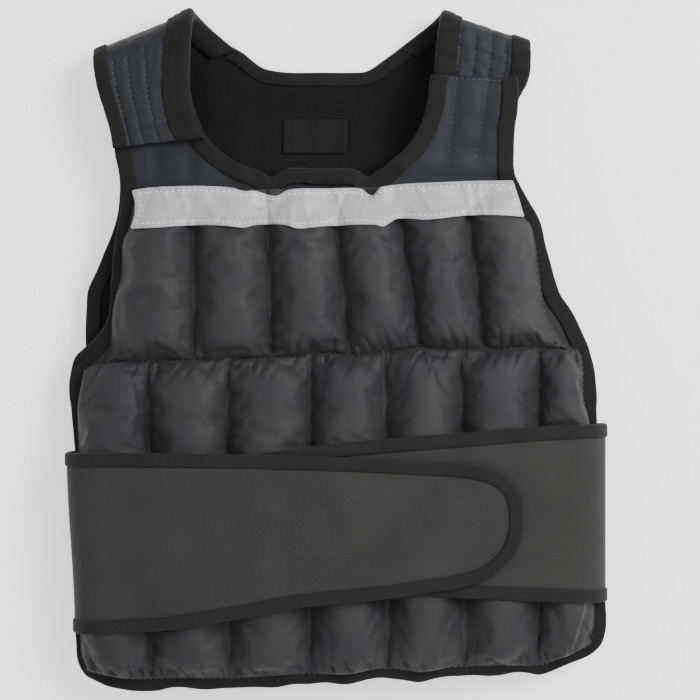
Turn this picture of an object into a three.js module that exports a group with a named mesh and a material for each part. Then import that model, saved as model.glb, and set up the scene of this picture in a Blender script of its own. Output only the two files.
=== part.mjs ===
// A front-loading weighted training vest, laid on its back. X runs across the vest, Y from the hem to
// the shoulders and Z up from the surface that it lies on. Lengths are millimetres.
import * as THREE from "three";

// Whole vest
const vestLength = 558; // hem to the top of the shoulder folds
const halfWidth = 217; // middle to the side edge at the waist

// Cloth walls
const panelThickness = 4; // padded wall of the front and back panels
const strapThickness = 6; // padded shoulder straps
const beltThickness = 2.2; // doubled loop cloth of the waist belt
const seamThickness = 1.5; // pocket cloth pressed together along a seam
const stripeThickness = 0.9;
const patchThickness = 1.2;
const patchGap = 2.4; // between the lining and the patch sewn on it

// Edge binding, a tape folded over an edge
const tapeThickness = 0.8;
const tapeGap = 0.8;
const panelTapeWidth = 11;
const strapTapeWidth = 11;
const beltTapeWidth = 8;

// Heights of the middle of each wall over the surface
const backLevel = 22; // back panel on its filled pockets
const backShoulderLevel = 4.6;
const backEdgeDroop = 7;
const hollowGap = 16; // room between the two panels at the middle
const frontArch = 14; // how much higher the front panel is at the middle than at its sides

// Pockets
const frontPocketHeight = 20;
const backPocketDepth = 26;
const pocketGap = 0.8; // between a pocket and the piece beside or below it
const rimGap = 3; // between the outermost pockets and the edge tape
const layerGap = 0.6; // between other cloth layers

// Belt
const beltSideReach = 6; // the belt's side folds stand this far out from halfWidth
const beltBendWidth = 35; // from where the belt starts to turn down to its side fold
const beltSeamOut = 150; // seam between a wing and the back stretch, from the middle
const beltClearance = 4; // back pockets are flattened this far beside the belt
const beltRamp = 10;

const cloth = { roughness: 0.72, metalness: 0 };
const colours = {
  pocket: 0x47494a,
  panel: 0x3c4046,
  strap: 0x4a4e54,
  tape: 0x363832,
  belt: 0x424441,
  beltTape: 0x2d312e,
  stripe: 0xb9b9bb,
  patch: 0x1c211e,
};

// Outlines, read from the front. "up" is a share of vestLength from the hem, "out" a share of halfWidth.
const frontOutline = {
  left: [
    { up: 0.019, out: -0.947 }, { up: 0.06, out: -0.985 }, { up: 0.19, out: -0.985 },
    { up: 0.33, out: -0.985 }, { up: 0.4, out: -1.0 }, { up: 0.465, out: -1.0 }, { up: 0.518, out: -0.951 },
    { up: 0.569, out: -0.861 }, { up: 0.638, out: -0.85 }, { up: 0.705, out: -0.816 },
    { up: 0.742, out: -0.808 },
  ],
  right: [
    { up: 0.052, out: 0.981 }, { up: 0.085, out: 1.01 }, { up: 0.13, out: 0.983 },
    { up: 0.25, out: 0.985 }, { up: 0.4, out: 0.985 }, { up: 0.462, out: 0.985 }, { up: 0.52, out: 0.943 },
    { up: 0.575, out: 0.855 }, { up: 0.65, out: 0.795 }, { up: 0.705, out: 0.756 },
    { up: 0.742, out: 0.692 },
  ],
  hem: [
    { up: 0.019, out: -0.947 }, { up: 0.003, out: -0.82 }, { up: 0.001, out: -0.68 },
    { up: 0.004, out: -0.43 }, { up: 0.01, out: -0.13 }, { up: 0.012, out: 0.05 },
    { up: 0.019, out: 0.17 }, { up: 0.015, out: 0.33 }, { up: 0.022, out: 0.6 },
    { up: 0.024, out: 0.78 }, { up: 0.036, out: 0.9 }, { up: 0.052, out: 0.981 },
  ],
  leftShoulder: [
    { up: 0.742, out: -0.808 }, { up: 0.79, out: -0.82 }, { up: 0.83, out: -0.84 },
    { up: 0.868, out: -0.868 },
  ],
  rightShoulder: [
    { up: 0.742, out: 0.692 }, { up: 0.762, out: 0.677 }, { up: 0.82, out: 0.682 },
    { up: 0.888, out: 0.664 },
  ],
  leftNeck: [
    { up: 0.764, out: -0.241 }, { up: 0.782, out: -0.34 }, { up: 0.8, out: -0.412 },
    { up: 0.827, out: -0.462 }, { up: 0.888, out: -0.549 },
  ],
  rightNeck: [
    { up: 0.764, out: 0.079 }, { up: 0.778, out: 0.16 }, { up: 0.803, out: 0.242 },
    { up: 0.845, out: 0.292 }, { up: 0.9, out: 0.316 },
  ],
};
const backOutline = {
  left: [
    { up: 0.022, out: -0.925 }, { up: 0.06, out: -0.94 }, { up: 0.2, out: -0.94 },
    { up: 0.4, out: -0.94 }, { up: 0.46, out: -0.965 }, { up: 0.512, out: -0.962 },
    { up: 0.574, out: -0.95 }, { up: 0.632, out: -0.883 }, { up: 0.69, out: -0.827 },
    { up: 0.74, out: -0.81 }, { up: 0.8, out: -0.82 }, { up: 0.85, out: -0.857 },
  ],
  right: [
    { up: 0.055, out: 0.935 }, { up: 0.09, out: 0.94 }, { up: 0.2, out: 0.94 },
    { up: 0.4, out: 0.94 }, { up: 0.46, out: 0.94 }, { up: 0.52, out: 0.915 },
    { up: 0.58, out: 0.835 }, { up: 0.65, out: 0.78 }, { up: 0.705, out: 0.735 },
    { up: 0.755, out: 0.668 }, { up: 0.81, out: 0.66 }, { up: 0.85, out: 0.672 },
  ],
  hem: [
    { up: 0.022, out: -0.925 }, { up: 0.008, out: -0.82 }, { up: 0.007, out: -0.5 },
    { up: 0.014, out: 0 }, { up: 0.022, out: 0.5 }, { up: 0.034, out: 0.85 },
    { up: 0.055, out: 0.935 },
  ],
  leftShoulder: [
    { up: 0.85, out: -0.857 }, { up: 0.864, out: -0.868 }, { up: 0.878, out: -0.88 },
  ],
  rightShoulder: [
    { up: 0.85, out: 0.672 }, { up: 0.866, out: 0.684 }, { up: 0.882, out: 0.7 },
  ],
  leftNeck: [
    { up: 0.907, out: -0.241 }, { up: 0.914, out: -0.29 }, { up: 0.926, out: -0.335 },
    { up: 0.943, out: -0.392 },
  ],
  rightNeck: [
    { up: 0.907, out: 0.124 }, { up: 0.916, out: 0.16 }, { up: 0.928, out: 0.2 },
    { up: 0.944, out: 0.25 },
  ],
};

// Shoulder straps: for both edges the root on the back panel, the fold and the end on the front.
const strapPlans = {
  left: {
    outer: { root: { up: 0.878, out: -0.88 }, fold: { up: 0.94, out: -0.919 }, end: { up: 0.796, out: -0.838 } },
    inner: { root: { up: 0.943, out: -0.392 }, fold: { up: 1.0, out: -0.538 }, end: { up: 0.812, out: -0.489 } },
  },
  right: {
    outer: { root: { up: 0.882, out: 0.7 }, fold: { up: 0.952, out: 0.738 }, end: { up: 0.822, out: 0.648 } },
    inner: { root: { up: 0.944, out: 0.25 }, fold: { up: 1.0, out: 0.4 }, end: { up: 0.838, out: 0.36 } },
  },
};

// Rows of pockets: their edges rise a little from left to right, and seams lean from foot to head.
const rowSeam = { left: 0.481, right: 0.5 };
const rowHead = { left: 0.734, right: 0.745 };
const backFoot = { left: 0.046, right: 0.066 };
const backHead = { left: 0.72, right: 0.72 };
const lowerSeams = [
  { foot: -0.691, head: -0.712 }, { foot: -0.402, head: -0.406 }, { foot: -0.101, head: -0.092 },
  { foot: 0.195, head: 0.178 }, { foot: 0.484, head: 0.464 }, { foot: 0.759, head: 0.767 },
];
const upperSeams = [
  { foot: -0.533, head: -0.533 }, { foot: -0.24, head: -0.26 }, { foot: 0.049, head: -0.009 },
  { foot: 0.319, head: 0.216 }, { foot: 0.56, head: 0.482 },
];
const upperOuterSeams = [{ foot: -0.868, head: -0.82 }, { foot: 0.87, head: 0.72 }];
const backOuterSeams = [{ foot: -0.85, head: -0.85 }, { foot: 0.85, head: 0.85 }];

// A pocket's grid: stations as shares of its width or length, and how full the pocket is there.
const acrossPocket = [
  { at: 0, full: 0 }, { at: 0.07, full: 0.52 }, { at: 0.25, full: 0.93 }, { at: 0.5, full: 1 },
  { at: 0.75, full: 0.93 }, { at: 0.93, full: 0.52 }, { at: 1, full: 0 },
];
const alongLower = [
  { at: 0, full: 0 }, { at: 0.035, full: 0.5 }, { at: 0.12, full: 0.95 }, { at: 0.5, full: 1 },
  { at: 0.88, full: 0.95 }, { at: 0.965, full: 0.5 }, { at: 1, full: 0 },
];
const alongUpper = [
  { at: 0, full: 0 }, { at: 0.05, full: 0.52 }, { at: 0.17, full: 0.95 }, { at: 0.35, full: 1 },
  { at: 0.55, full: 1 }, { at: 0.775, full: 0.8 }, { at: 0.89, full: 0.5 }, { at: 1, full: 0.12 },
];
const stripeFrom = 5; // the stripe starts at this row of alongUpper
const acrossBack = [
  { at: 0, full: 0 }, { at: 0.14, full: 0.7 }, { at: 0.5, full: 1 }, { at: 0.86, full: 0.7 }, { at: 1, full: 0 },
];

// Belt wings: edges at stations from the side to the rounded tip.
const leftWing = [
  { out: -1.02, low: 0.09, high: 0.348 }, { out: -0.88, low: 0.094, high: 0.351 },
  { out: -0.66, low: 0.102, high: 0.351 }, { out: -0.4, low: 0.116, high: 0.346 },
  { out: -0.13, low: 0.134, high: 0.344 }, { out: 0.17, low: 0.148, high: 0.34 },
  { out: 0.42, low: 0.161, high: 0.335 }, { out: 0.53, low: 0.17, high: 0.328 },
  { out: 0.61, low: 0.186, high: 0.316 }, { out: 0.662, low: 0.206, high: 0.298 },
  { out: 0.687, low: 0.23, high: 0.272 },
];
const rightWing = [
  { out: 1.02, low: 0.135, high: 0.388 }, { out: 0.88, low: 0.137, high: 0.386 },
  { out: 0.6, low: 0.142, high: 0.381 }, { out: 0.3, low: 0.146, high: 0.374 },
  { out: 0.0, low: 0.152, high: 0.364 }, { out: -0.3, low: 0.16, high: 0.35 },
  { out: -0.44, low: 0.17, high: 0.34 }, { out: -0.52, low: 0.186, high: 0.322 },
  { out: -0.57, low: 0.205, high: 0.3 }, { out: -0.59, low: 0.23, high: 0.276 },
];

const liningPatch = { low: 0.788, high: 0.839, left: -0.199, right: 0.041 };

const group = new THREE.Group();
const vector = (x, y, z) => new THREE.Vector3(x, y, z);
const mix = THREE.MathUtils.lerp;
const smooth = THREE.MathUtils.smoothstep;
const tapeProud = tapeGap + tapeThickness;

function add(name, geometry, colour) {
  const mesh = new THREE.Mesh(geometry, new THREE.MeshStandardMaterial({ color: colour, ...cloth }));
  mesh.name = name;
  group.add(mesh);
}

function planPoint(row) {
  return vector(row.out * halfWidth, row.up * vestLength, 0);
}

// Heights of the walls' middle surfaces
function frontTorsoHeight(x) {
  const side = Math.min(Math.abs(x) / halfWidth, 1.05);
  const sideLevel = backLevel + panelThickness + hollowGap - frontArch;
  return sideLevel + frontArch * (1 - side ** 2.5);
}

const leftFlapLevel = backLevel + panelThickness + 10;
const leftStrapLevel = leftFlapLevel + (panelThickness + strapThickness) / 2 + 2 * tapeProud + layerGap;
const rightStrapLevel = leftFlapLevel;
const rightFlapLevel = rightStrapLevel + (panelThickness + strapThickness) / 2 + 2 * tapeProud + layerGap;

function frontHeight(x, y) {
  const torso = frontTorsoHeight(x);
  const up = y / vestLength;
  return x < 0
    ? mix(torso, leftFlapLevel, smooth(up, 0.752, 0.795))
    : mix(torso, rightFlapLevel, smooth(up, 0.752, 0.83));
}

function backHeight(x, y) {
  const side = Math.min(Math.abs(x) / halfWidth, 1);
  const level = mix(backLevel, backShoulderLevel, smooth(y / vestLength, 0.745, 0.855));
  return level - Math.min(backEdgeDroop, level - backShoulderLevel) * side ** 6;
}

// A smooth curve through the rows of an outline, sampled at equal steps.
function sampled(rows, steps) {
  return new THREE.CatmullRomCurve3(rows.map(planPoint), false, "centripetal").getSpacedPoints(steps);
}

// Grid of points between four edge curves that share their corners.
function patchBetween(bottom, top, left, right) {
  const columns = bottom.length - 1;
  const rows = left.length - 1;
  return left.map((_, j) =>
    bottom.map((_, i) => {
      const u = i / columns;
      const v = j / rows;
      const along = bottom[i].clone().lerp(top[i], v);
      const across = left[j].clone().lerp(right[j], u);
      const corners = bottom[0].clone().lerp(bottom[columns], u);
      corners.lerp(top[0].clone().lerp(top[columns], u), v);
      return along.add(across).sub(corners);
    }),
  );
}

function straight(from, to, steps) {
  return Array.from({ length: steps + 1 }, (_, i) => from.clone().lerp(to, i / steps));
}

// Pulls an outline in, so that the tape's outside lies on the outline.
function insetEdge(points, distance, side) {
  return points.map((p, i) => {
    const before = points[Math.max(i - 1, 0)];
    const after = points[Math.min(i + 1, points.length - 1)];
    const run = after.clone().sub(before).normalize();
    return vector(p.x + side * run.y * distance, p.y - side * run.x * distance, 0);
  });
}

// Closed solid from grids of points that share vertices: each is offset to both faces, and loose edges are walled.
function thickened(patches, offsets) {
  const points = [];
  const ids = new Map();
  const faces = [];
  const idOf = (p) => {
    const key = p.toArray().map((c) => c.toFixed(3)).join();
    if (!ids.has(key)) {
      ids.set(key, points.length);
      points.push(p);
    }
    return ids.get(key);
  };
  for (const grid of patches)
    for (let j = 0; j + 1 < grid.length; j++)
      for (let i = 0; i + 1 < grid[j].length; i++) {
        const quad = [grid[j][i], grid[j][i + 1], grid[j + 1][i + 1], grid[j + 1][i]].map(idOf);
        faces.push([quad[0], quad[1], quad[2]], [quad[0], quad[2], quad[3]]);
      }
  const normals = points.map(() => vector(0, 0, 0));
  const edges = new Set();
  for (const [a, b, c] of faces) {
    const ab = points[b].clone().sub(points[a]);
    const normal = ab.cross(points[c].clone().sub(points[a]));
    for (const k of [a, b, c]) normals[k].add(normal);
    edges.add(a + "," + b).add(b + "," + c).add(c + "," + a);
  }
  const sides = points.map((p, k) => offsets(p, normals[k].normalize()));
  const positions = sides.flatMap((s) => s.upper.toArray()).concat(sides.flatMap((s) => s.lower.toArray()));
  const n = points.length;
  const index = [];
  for (const [a, b, c] of faces) index.push(a, b, c, n + a, n + c, n + b);
  for (const edge of edges) {
    const [a, b] = edge.split(",").map(Number);
    if (!edges.has(b + "," + a)) index.push(a, n + a, n + b, a, n + b, b);
  }
  return indexed(positions, index);
}

function indexed(positions, index) {
  const geometry = new THREE.BufferGeometry();
  geometry.setAttribute("position", new THREE.Float32BufferAttribute(positions, 3));
  geometry.setIndex(index);
  geometry.computeVertexNormals();
  return geometry;
}

// Even wall either side of a middle surface, measured upwards or along the surface's own normal.
const upwards = (half) => (p) => ({ upper: p.clone().setZ(p.z + half), lower: p.clone().setZ(p.z - half) });
const alongNormal = (half) => (p, n) => ({
  upper: p.clone().addScaledVector(n, half),
  lower: p.clone().addScaledVector(n, -half),
});

// Tape folded over an edge. Each station has the edge point, the way out of the wall, the wall's normal and
// the point of the wall that the tape's legs end at.
function foldedTape(stations, wall) {
  const inside = wall / 2 + tapeGap;
  const outside = inside + tapeThickness;
  const section = [
    ["inner", inside, 0], ["edge", inside, tapeGap], ["edge", -inside, tapeGap], ["inner", -inside, 0],
    ["inner", -outside, 0], ["edge", -outside, tapeProud], ["edge", outside, tapeProud], ["inner", outside, 0],
  ];
  const positions = stations.flatMap((s) =>
    section.flatMap(([from, rise, reach]) =>
      s[from].clone().addScaledVector(s.normal, rise).addScaledVector(s.out, reach).toArray(),
    ),
  );
  const count = section.length;
  const index = [];
  for (let s = 0; s + 1 < stations.length; s++)
    for (let k = 0; k < count; k++) {
      const a = s * count + k;
      const b = s * count + ((k + 1) % count);
      index.push(a, b + count, b, a, a + count, b + count);
    }
  const last = (stations.length - 1) * count;
  for (const [a, b, c, d] of [[0, 7, 6, 1], [1, 6, 5, 2], [2, 5, 4, 3]]) {
    index.push(a, c, b, a, d, c);
    index.push(last + a, last + b, last + c, last + a, last + c, last + d);
  }
  return indexed(positions, index);
}

// Stations for tape along an edge that runs with the wall on its left, seen from above the normal.
function tapeStations(points, normals, width, settle) {
  return points.map((p, i) => {
    const run = points[Math.min(i + 1, points.length - 1)].clone().sub(points[Math.max(i - 1, 0)]);
    const out = run.normalize().cross(normals[i]).normalize();
    const inner = p.clone().addScaledVector(out, -width);
    return { edge: p, out, normal: normals[i], inner: settle ? settle(inner) : inner };
  });
}

// A panel is its torso, two shoulders and the strip below the middle of its neckline.
function panel(outline, height, counts) {
  const raise = (p) => vector(p.x, p.y, height(p.x, p.y));
  const edge = (rows, steps, side) => insetEdge(sampled(rows, steps), tapeProud, side);
  const left = edge(outline.left, counts.side, 1);
  const right = edge(outline.right, counts.side, -1);
  const leftShoulder = edge(outline.leftShoulder, counts.shoulder, 1);
  const rightShoulder = edge(outline.rightShoulder, counts.shoulder, -1);
  leftShoulder[0] = left.at(-1);
  rightShoulder[0] = right.at(-1);
  const hem = edge(outline.hem, counts.shoulderColumns * 2 + counts.neckColumns, -1);
  hem[0] = left[0];
  hem[hem.length - 1] = right[0];
  const leftNeck = edge(outline.leftNeck, counts.shoulder - 1, -1);
  const rightNeck = edge(outline.rightNeck, counts.shoulder - 1, 1);
  leftNeck[0].y = rightNeck[0].y = planPoint(outline.leftNeck[0]).y - tapeProud;
  const shoulderUp = (x) =>
    mix(left.at(-1).y, right.at(-1).y, (x - left.at(-1).x) / (right.at(-1).x - left.at(-1).x));
  const neckFoot = (p) => vector(p.x, shoulderUp(p.x), 0);
  const leftTop = straight(left.at(-1), neckFoot(leftNeck[0]), counts.shoulderColumns);
  const middleTop = straight(leftTop.at(-1), neckFoot(rightNeck[0]), counts.neckColumns);
  const rightTop = straight(middleTop.at(-1), right.at(-1), counts.shoulderColumns);
  const torsoTop = [...leftTop, ...middleTop.slice(1), ...rightTop.slice(1)];
  const neckline = straight(leftNeck[0], rightNeck[0], counts.neckColumns);
  const leftInner = [leftTop.at(-1), ...leftNeck];
  const rightInner = [rightTop[0], ...rightNeck];
  const flat = [
    patchBetween(hem, torsoTop, left, right),
    patchBetween(
      leftTop, straight(leftShoulder.at(-1), leftNeck.at(-1), counts.shoulderColumns), leftShoulder, leftInner,
    ),
    patchBetween(
      rightTop, straight(rightNeck.at(-1), rightShoulder.at(-1), counts.shoulderColumns), rightInner, rightShoulder,
    ),
    [middleTop, neckline],
  ];
  const rim = [...leftShoulder.slice(1).reverse(), ...left.slice().reverse(), ...hem.slice(1, -1)];
  rim.push(...right, ...rightShoulder.slice(1));
  const neck = [...rightNeck.slice().reverse(), ...neckline.slice(1, -1).reverse(), ...leftNeck];
  return {
    patches: flat.map((grid) => grid.map((row) => row.map(raise))),
    rim: rim.map(raise),
    neck: neck.map(raise),
    raise,
  };
}

function addPanel(name, made) {
  add(name + "_panel", thickened(made.patches, upwards(panelThickness / 2)), colours.panel);
  for (const edge of ["rim", "neck"]) {
    const up = made[edge].map(() => vector(0, 0, 1));
    const stations = tapeStations(made[edge], up, panelTapeWidth, made.raise);
    add(name + "_" + edge + "_binding", foldedTape(stations, panelThickness), colours.tape);
    made[edge + "Inner"] = stations.map((s) => s.inner);
  }
}

// Outermost place on one side where a run of points crosses a height on the vest.
function acrossAt(points, y, side) {
  const crossings = [];
  for (let i = 0; i + 1 < points.length; i++) {
    const [a, b] = [points[i], points[i + 1]];
    if ((a.y - y) * (b.y - y) <= 0 && a.y !== b.y) crossings.push(mix(a.x, b.x, (y - a.y) / (b.y - a.y)));
  }
  return side * Math.max(...crossings.map((x) => x * side));
}

function hemAt(inner, x) {
  const low = inner.filter((p) => p.y < 0.15 * vestLength && Math.abs(p.x) < 0.93 * halfWidth);
  low.sort((a, b) => a.x - b.x);
  const next = Math.min(Math.max(low.findIndex((p) => p.x > x), 1), low.length - 1);
  const [a, b] = x > low.at(-1).x ? low.slice(-2) : [low[next - 1], low[next]];
  return mix(a.y, b.y, (x - a.x) / (b.x - a.x));
}

const rowEdge = (row) => (x) => vestLength * mix(row.left, row.right, (x / halfWidth + 1) / 2);
const seamAt = (seam, share) => halfWidth * mix(seam.foot, seam.head, share);

// Plans of one row of pockets, each a function from shares of its width and length to a place on the vest.
function rowPlans(row, inner) {
  const count = row.seams.length + 1;
  return Array.from({ length: count }, (_, i) => (u, v) => {
    const between = (y, share) => {
      const rim = [-1, 1].map((side) => acrossAt(inner, y, side) - side * rimGap);
      const outer = row.outer ? row.outer.map((seam) => seamAt(seam, share)) : rim;
      const left = i === 0 ? Math.max(rim[0], outer[0]) : seamAt(row.seams[i - 1], share);
      const right = i === count - 1 ? Math.min(rim[1], outer[1]) : seamAt(row.seams[i], share);
      return mix(left + pocketGap / 2, right - pocketGap / 2, u);
    };
    const middleY = mix(row.foot(0), row.head(0), Math.max(v, 0.05));
    const guess = between(middleY, v);
    const y = mix(row.foot(guess), row.head(guess), v);
    return vector(between(Math.max(y, row.lowest), v), y, 0);
  });
}

function pocketRows(inner, lowerOuter) {
  const seam = rowEdge(rowSeam);
  return {
    lower: {
      seams: lowerSeams,
      outer: lowerOuter,
      foot: (x) => hemAt(inner, x) + pocketGap,
      head: (x) => seam(x) - pocketGap / 2,
      lowest: 0.06 * vestLength,
    },
    upper: {
      seams: upperSeams,
      outer: upperOuterSeams,
      foot: (x) => seam(x) + pocketGap / 2,
      head: (x) => rowEdge(rowHead)(x) - pocketGap,
      lowest: 0,
    },
  };
}

function addFrontPockets(inner) {
  const base = (p) => frontHeight(p.x, p.y) + panelThickness / 2 + pocketGap;
  const onPanel = (p) => ({ upper: p.clone(), lower: p.clone().setZ(base(p)) });
  const rows = pocketRows(inner);
  const grids = {};
  for (const [name, along] of [["lower", alongLower], ["upper", alongUpper]]) {
    grids[name] = rowPlans(rows[name], inner).map((plan) =>
      along.map((row) =>
        acrossPocket.map((column) => {
          const p = plan(column.at, row.at);
          return p.setZ(base(p) + seamThickness + frontPocketHeight * column.full * row.full);
        }),
      ),
    );
    grids[name].forEach((grid, i) => {
      add("front_pocket_" + name + "_" + (i + 1), thickened([grid], onPanel), colours.pocket);
    });
  }
  return grids.upper;
}

// The reflective stripe lies on the heads of the upper pockets and dips into their seams.
function addStripe(grids) {
  const rows = alongUpper.slice(stripeFrom).map((_, k) =>
    grids.flatMap((grid, i) => {
      const row = grid[stripeFrom + k];
      return i === 0 ? row : [row[0].clone().lerp(grids[i - 1][stripeFrom + k].at(-1), 0.5), ...row.slice(1)];
    }),
  );
  const draped = (p) => ({
    upper: p.clone().setZ(p.z + layerGap + stripeThickness),
    lower: p.clone().setZ(p.z + layerGap),
  });
  add("reflective_stripe", thickened([rows], draped), colours.stripe);
}

// Y of the belt's lower or upper edge where it passes under the back.
function beltBackEdge(x, edge) {
  const share = (x / halfWidth - leftWing[0].out) / (rightWing[0].out - leftWing[0].out);
  return vestLength * mix(leftWing[0][edge], rightWing[0][edge], share);
}

const beltMiddle = tapeProud + beltThickness / 2; // height of the belt under the back
const beltStep = beltThickness + 2 * tapeProud + layerGap; // from one belt layer to the next

// How full a back pocket is along its length, flattened where the belt passes under it.
function backStations(foot, head, x, underBelt) {
  const rim = [{ y: foot, full: 0 }, { y: mix(foot, head, 0.09), full: 1 }];
  const end = [{ y: mix(foot, head, 0.91), full: 1 }, { y: head, full: 0 }];
  if (!underBelt) return [...rim, { y: mix(foot, head, 0.5), full: 1 }, ...end];
  const low = beltBackEdge(x, "low") - beltClearance;
  const high = beltBackEdge(x, "high") + beltClearance;
  const pressed = [{ y: low, onBelt: true }, { y: high, onBelt: true }];
  return [...rim, { y: low - beltRamp, full: 1 }, ...pressed, { y: high + beltRamp, full: 1 }, ...end]
    .filter((row, k, all) => k === 0 || row.y > all[k - 1].y + 1);
}

function addBackPockets(inner) {
  const rows = pocketRows(inner, backOuterSeams);
  rows.lower.foot = rowEdge(backFoot);
  rows.upper.head = rowEdge(backHead);
  for (const name of ["lower", "upper"]) {
    rowPlans(rows[name], inner).forEach((plan, i) => {
      const edges = acrossBack.map((column) => [plan(column.at, 0), plan(column.at, 1)]);
      const middle = edges[(edges.length - 1) / 2];
      const stations = backStations(middle[0].y, middle[1].y, middle[0].x, name === "lower");
      const grid = stations.map((row) => {
        const share = (row.y - middle[0].y) / (middle[1].y - middle[0].y);
        return acrossBack.map((column) => {
          const p = plan(column.at, share);
          p.setZ(backHeight(p.x, p.y) - panelThickness / 2 - pocketGap);
          const full = row.onBelt ? column.full : column.full * row.full;
          const surface = row.onBelt ? beltStep : 0;
          p.floor = Math.min(Math.max(p.z - seamThickness - backPocketDepth * full, surface), p.z - seamThickness);
          return p;
        });
      });
      const hanging = (p) => ({ upper: p.clone(), lower: p.clone().setZ(p.floor) });
      add("back_pocket_" + name + "_" + (i + 1), thickened([grid], hanging), colours.pocket);
    });
  }
}

// Normal of a grid of points at one of them.
function gridNormal(grid, j, i) {
  const row = grid[j];
  const along = grid[Math.min(j + 1, grid.length - 1)][i].clone().sub(grid[Math.max(j - 1, 0)][i]);
  const across = row[Math.min(i + 1, row.length - 1)].clone().sub(row[Math.max(i - 1, 0)]);
  return across.cross(along).normalize();
}

// Tape along one long edge of a grid, or round its far end as well. Beside the rows it lies along them.
function addGridTape(name, grid, edge, options) {
  const last = grid[0].length - 1;
  const end = grid.length - 1;
  const rows = grid.map((_, j) => j);
  const down = rows.slice().reverse();
  const places = {
    last: rows.map((j) => ({ j, i: last, next: last - 1 })),
    first: down.map((j) => ({ j, i: 0, next: 1 })),
    round: [
      ...rows.map((j) => ({ j, i: last, next: j === end ? undefined : last - 1 })),
      ...grid[0].map((_, i) => ({ j: end, i: last - i })).slice(1, -1),
      ...down.map((j) => ({ j, i: 0, next: j === end ? undefined : 1 })),
    ],
  }[edge];
  const points = places.map(({ j, i }) => grid[j][i]);
  const normals = places.map(({ j, i }) => gridNormal(grid, j, i));
  const stations = tapeStations(points, normals, options.width, options.settle);
  places.forEach(({ j, i, next }, k) => {
    if (next === undefined) return;
    const out = grid[j][i].clone().sub(grid[j][next]).normalize();
    stations[k].out = out;
    stations[k].inner = points[k].clone().addScaledVector(out, -options.width);
  });
  add(name, foldedTape(stations, options.wall), options.colour);
}

// A shoulder strap leaves the back panel, turns over at its fold and lies along the front.
function addStrap(side, frontLevel) {
  const plan = strapPlans[side];
  const bend = (frontLevel - backShoulderLevel) / 2;
  const bendSteps = 6;
  const stations = [{ share: 1, to: "root", z: backShoulderLevel }];
  for (let k = 0; k <= bendSteps; k++) {
    const angle = Math.PI * (k / bendSteps - 0.5);
    const z = backShoulderLevel + bend * (1 + Math.sin(angle));
    stations.push({ reach: bend * (1 - Math.cos(angle)), to: angle < 0 ? "root" : "end", z });
  }
  for (const share of [0.45, 0.7, 1]) stations.push({ share, to: "end", z: frontLevel });
  const pointOn = (edge, s) => {
    const fold = planPoint(edge.fold);
    const to = planPoint(edge[s.to]);
    const length = fold.distanceTo(to);
    const whole = s.to === "root" ? length - pocketGap : length;
    return fold.lerp(to, (s.reach ?? s.share * whole) / length).setZ(s.z);
  };
  const across = 4;
  const inset = (edge, other, s) => {
    const p = pointOn(edge, s);
    return p.addScaledVector(pointOn(other, s).sub(p).normalize(), tapeProud);
  };
  const [first, second] = side === "left" ? [plan.outer, plan.inner] : [plan.inner, plan.outer];
  const grid = stations.map((s) => straight(inset(first, second, s), inset(second, first, s), across));
  const name = "strap_" + side;
  add(name, thickened([grid], alongNormal(strapThickness / 2)), colours.strap);
  const options = { width: strapTapeWidth, wall: strapThickness, colour: colours.tape };
  addGridTape(name + (side === "left" ? "_inner" : "_outer") + "_binding", grid, "last", options);
  addGridTape(name + (side === "left" ? "_outer" : "_inner") + "_binding", grid, "first", options);
}

// Middle surface of a belt wing over the front pockets.
function wingHeight(x, y, lift) {
  const crown = frontTorsoHeight(x) + panelThickness / 2 + pocketGap + seamThickness + frontPocketHeight;
  return crown + layerGap + tapeProud + beltThickness / 2 + lift(x);
}

function tableEdge(rows, x, edge) {
  const forward = rows.slice().sort((a, b) => a.out - b.out);
  const share = THREE.MathUtils.clamp(x / halfWidth, forward[0].out, forward.at(-1).out);
  const next = Math.max(forward.findIndex((row) => row.out >= share), 1);
  const [a, b] = [forward[next - 1], forward[next]];
  return vestLength * mix(a[edge], b[edge], (share - a.out) / (b.out - a.out));
}

// A wing starts at its seam under the back, turns round the side and lies across the front to its tip.
function addWing(name, rows, lift) {
  const side = Math.sign(rows[0].out);
  const reach = halfWidth + beltSideReach - beltMiddle;
  const bendFrom = reach - beltBendWidth;
  const top = (y) => wingHeight(side * bendFrom, y, lift);
  const bendSteps = 6;
  const stations = [{ x: beltSeamOut + pocketGap / 2, z: () => beltMiddle }];
  for (let k = 0; k <= bendSteps; k++) {
    const angle = Math.PI * (k / bendSteps - 0.5);
    const rise = (1 + Math.sin(angle)) / 2;
    stations.push({ x: bendFrom + beltBendWidth * Math.cos(angle), z: (y) => mix(beltMiddle, top(y), rise) });
  }
  const front = rows.filter((row) => Math.abs(row.out) * halfWidth < bendFrom - 4 || row.out * side < 0);
  front.forEach((row, k) => {
    const x = row.out * halfWidth * side - (k === front.length - 1 ? -tapeProud : 0);
    stations.push({ x, z: (y) => wingHeight(side * x, y, lift) });
  });
  const across = 3;
  const frontStart = stations.length - front.length - bendSteps / 2;
  const grid = stations.map((s, k) => {
    const edge = (key) => (k < frontStart ? beltBackEdge(side * s.x, key) : tableEdge(rows, side * s.x, key));
    const low = vector(side * s.x, edge("low") + tapeProud, 0);
    const high = vector(side * s.x, edge("high") - tapeProud, 0);
    const row = side < 0 ? straight(high, low, across) : straight(low, high, across);
    return row.map((p) => p.setZ(s.z(p.y)));
  });
  add(name, thickened([grid], alongNormal(beltThickness / 2)), colours.belt);
  const settle = (p) => {
    const onFront = p.z > beltMiddle * 4 && Math.abs(p.x) < bendFrom;
    return onFront ? p.setZ(wingHeight(p.x, p.y, lift)) : p;
  };
  const options = { width: beltTapeWidth, wall: beltThickness, colour: colours.beltTape, settle };
  addGridTape(name + "_binding", grid, "round", options);
}

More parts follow.
